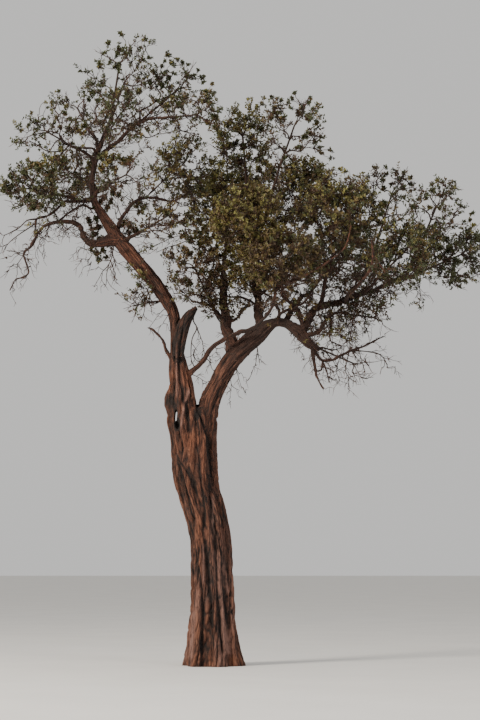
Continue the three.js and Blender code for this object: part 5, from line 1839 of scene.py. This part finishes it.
def barkMaterial(name, values):
    furrow, wood, ridgeTop = (paint(values[key]) for key in ("furrow", "wood", "ridge"))
    shader = Shader(name, wood, values["roughness"])
    grain = shader.attribute("grain", "Vector")
    ridge = shader.attribute("ridge")
    pale = shader.attribute("pale")
    place = shader.place()
    right, deep, rise = (shader.node("ShaderNodeSeparateXYZ", {}, {0: place}, axis) for axis in range(3))
    drawn, short = (shader.node("ShaderNodeMapping", {"vector_type": "POINT"}, {0: grain, 3: values[key]})
                    for key in ("fibreDrawn", "flakeDrawn"))
    fibres = shader.noiseOf(drawn, values["fibreScale"], detail=5)
    flakes = shader.noiseOf(short, values["flakeScale"], detail=4, roughness=values["flakeRoughness"])
    patches = shader.noiseOf(place, values["patchScale"], detail=3)
    strips = shader.noiseOf(drawn, values["stripScale"], detail=2)
    plates = shader.node("ShaderNodeTexVoronoi", {"feature": "DISTANCE_TO_EDGE"},
                         {"Vector": short, "Scale": values["plateScale"]}, "Distance")
    crack = shader.range(plates, *values["crackRange"])
    height = ridge + (fibres - 0.5) * values["fibres"] + (flakes - 0.5) * values["flakes"]
    height = height - crack * values["cracks"]
    colour = shader.ramp(height, list(zip(values["stops"], (furrow, wood, ridgeTop))))
    colour = shader.mix(shader.range(patches, *values["patchRange"]) * ridge, colour, paint(values["rust"]))
    strip = shader.range(rise, *values["footRange"]) * shader.range(strips, *values["stripRange"])
    bare = shader.maths("MAXIMUM", strip, pale)
    colour = shader.mix(bare * height, colour, paint(values["weathered"]))
    colour = shader.mix(shader.range(flakes, *values["flakeRange"]) * ridge, colour, paint(values["flake"]))
    colour = shader.mix(shader.range(flakes, *values["pitRange"]), colour, furrow)
    # painted shade from the crown: on the leader high up, on the right great bough under it, and less on
    # boughs at the front
    under = shader.range(rise, *values["underRange"]) * shader.range(right, *values["rightRange"])
    shade = shader.maths("MAXIMUM", shader.range(rise, *values["highRange"]), under)
    shade = shade * shader.range(deep, *values["frontRange"])
    shader.feed("Base Color", shader.mix(shade, colour, paint(values["shaded"])))
    relief = fibres + flakes * values["bumpFlakes"] - crack * values["bumpCracks"]
    shader.feed("Normal", shader.node("ShaderNodeBump", {}, values["bump"] | {"Height": relief}))
    return shader.material


def plainMaterial(name, colour, roughness, vary, scale, spread=(0.35, 0.65)):
    shader = Shader(name, paint(colour), roughness)
    dark = paint([v * (1 - vary) for v in colour])
    light = paint([min(v * (1 + vary), 255) for v in colour])
    speckle = shader.noiseOf(shader.place(), scale, detail=2)
    shader.feed("Base Color", shader.ramp(speckle, list(zip(spread, (dark, light)))))
    return shader.material


def finish(piece, material, nodes):
    piece.data.materials.clear()
    piece.data.materials.append(material)
    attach(piece, "root")
    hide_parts(*nodes)
    print(piece.name, "triangles:", sum(len(face.vertices) - 2 for face in piece.data.polygons))


# Stage: a pale floor, a pale sky and soft lights
stageValues = {
    "floorSize": 260,
    "floorPlace": (0, 60, 0),
    "floorColour": (222, 219, 214),
    "skyColour": (233, 232, 230),
    "sky": 0.84,
    "aim": (0.4, 0, 5),
    "key": {"place": (-19, -17, 16), "size": 7, "power": 10500, "colour": (1.0, 0.93, 0.83)},
    "fill": {"place": (16, -18, 9), "size": 12, "power": 1800, "colour": (0.90, 0.94, 1.0)},
}


def addStage(values):
    bpy.ops.mesh.primitive_plane_add(size=values["floorSize"], location=values["floorPlace"])
    bpy.ops.object.transform_apply(location=True)
    floor = bpy.context.object
    floor.name = "floor"
    floorPaint = plainMaterial("floorPaint", values["floorColour"], roughness=0.9, vary=0.01, scale=0.6)
    floor.data.materials.append(floorPaint)
    world = bpy.data.worlds.new("paleSky")
    world.use_nodes = True
    background = world.node_tree.nodes["Background"]
    background.inputs["Color"].default_value = paint(values["skyColour"])
    background.inputs["Strength"].default_value = values["sky"]
    bpy.context.scene.world = world
    for name in ("key", "fill"):
        light = values[name]
        bpy.ops.object.light_add(type="AREA", location=light["place"])
        lamp = bpy.context.object
        lamp.name = name + "Light"
        lamp.data.size = light["size"]
        lamp.data.energy = light["power"]
        lamp.data.color = light["colour"]
        lamp.rotation_euler = (Vector(values["aim"]) - lamp.location).to_track_quat("-Z", "Y").to_euler()


addCamera(cameraValues)
addStage(stageValues)

barkPaintwork = barkMaterial("bark", barkPaint)
greatPieces = greatBark()
print("great limbs done")
for piece in greatPieces[:2]:
    finish(piece, barkPaintwork, ["trunk"])
finish(greatPieces[2], barkPaintwork, ["left_leader", "right_bough", "bare_right_bough"])

greatBars = [(limbs[name].points, limbs[name].radii) for name in greatValues["limbs"]]
bars = {"great": greatBars, "bough": lesserBars(), "leafy": [], "bare": []}
sprays = []
growCrown(bars, sprays)
growBranches(bars, sprays)
print("twigs:", len(bars["leafy"]) + len(bars["bare"]), "sprays:", len(sprays))
greatNodes = ("right_bough", "bare_right_bough")
lesser = [name for name in frame["nodes"] if name.endswith("_bough") and name not in greatNodes]
finish(boughBark(bars["bough"]), barkMaterial("boughBark", boughPaint), lesser)

# Twigs and leaves go into pieces by the side of the crown they are on
twigPaint = plainMaterial("twigBark", twigValues["twigs"], roughness=0.9, vary=0.25, scale=9)
finePaint = plainMaterial("fineTwigBark", twigValues["fine"], roughness=0.9, vary=0.25, scale=9)
leafPaints = {name: plainMaterial(name, colour, roughness=0.55, vary=0.12, scale=2.5)
              for name, colour in leafColours.items()}
random = np.random.default_rng(leafValues["seed"])
for side in ("left", "right"):
    isLeft = side == "left"
    masses = [name for name, space in spaces.items() if (space.middle.x < 0) == isLeft]
    for kind, ending in (("leafy", "_foliage"), ("bare", "_twigs")):
        own = [bar for bar in bars[kind] if (bar[0][-1].x < 0) == isLeft]
        corners, faces = ringBars(own)[:2]
        nodes = [name + ending for name in masses if name + ending in frame["nodes"]]
        finish(facesPiece(side + kind.capitalize() + "Twigs", corners, faces), twigPaint, nodes)
    own = [spray for spray in sprays if (spray[2].x < 0) == isLeft]
    feet, tips, ahead = (np.array([tuple(spray[k]) for spray in own]) for k in (2, 3, 4))
    corners, faces, middles = sprayBars(feet * mm, tips * mm, ahead, random)
    finish(meshPiece(side + "FineTwigs", corners, faces), finePaint, [])
    outward = np.array([tuple((spray[2] - spray[0]).normalized()) for spray in own])
    colours = np.array([leafColour(*spray[:3], spray[6]) if spray[5] else "none" for spray in own])
    for name in leafColours:
        mine = np.flatnonzero(colours == name)
        corners, faces = leafMesh(feet[mine] * mm, middles[mine], tips[mine] * mm, outward[mine], random)
        finish(meshPiece(side + name, corners, faces, smooth=False), leafPaints[name], [])

bpy.context.view_layer.update()
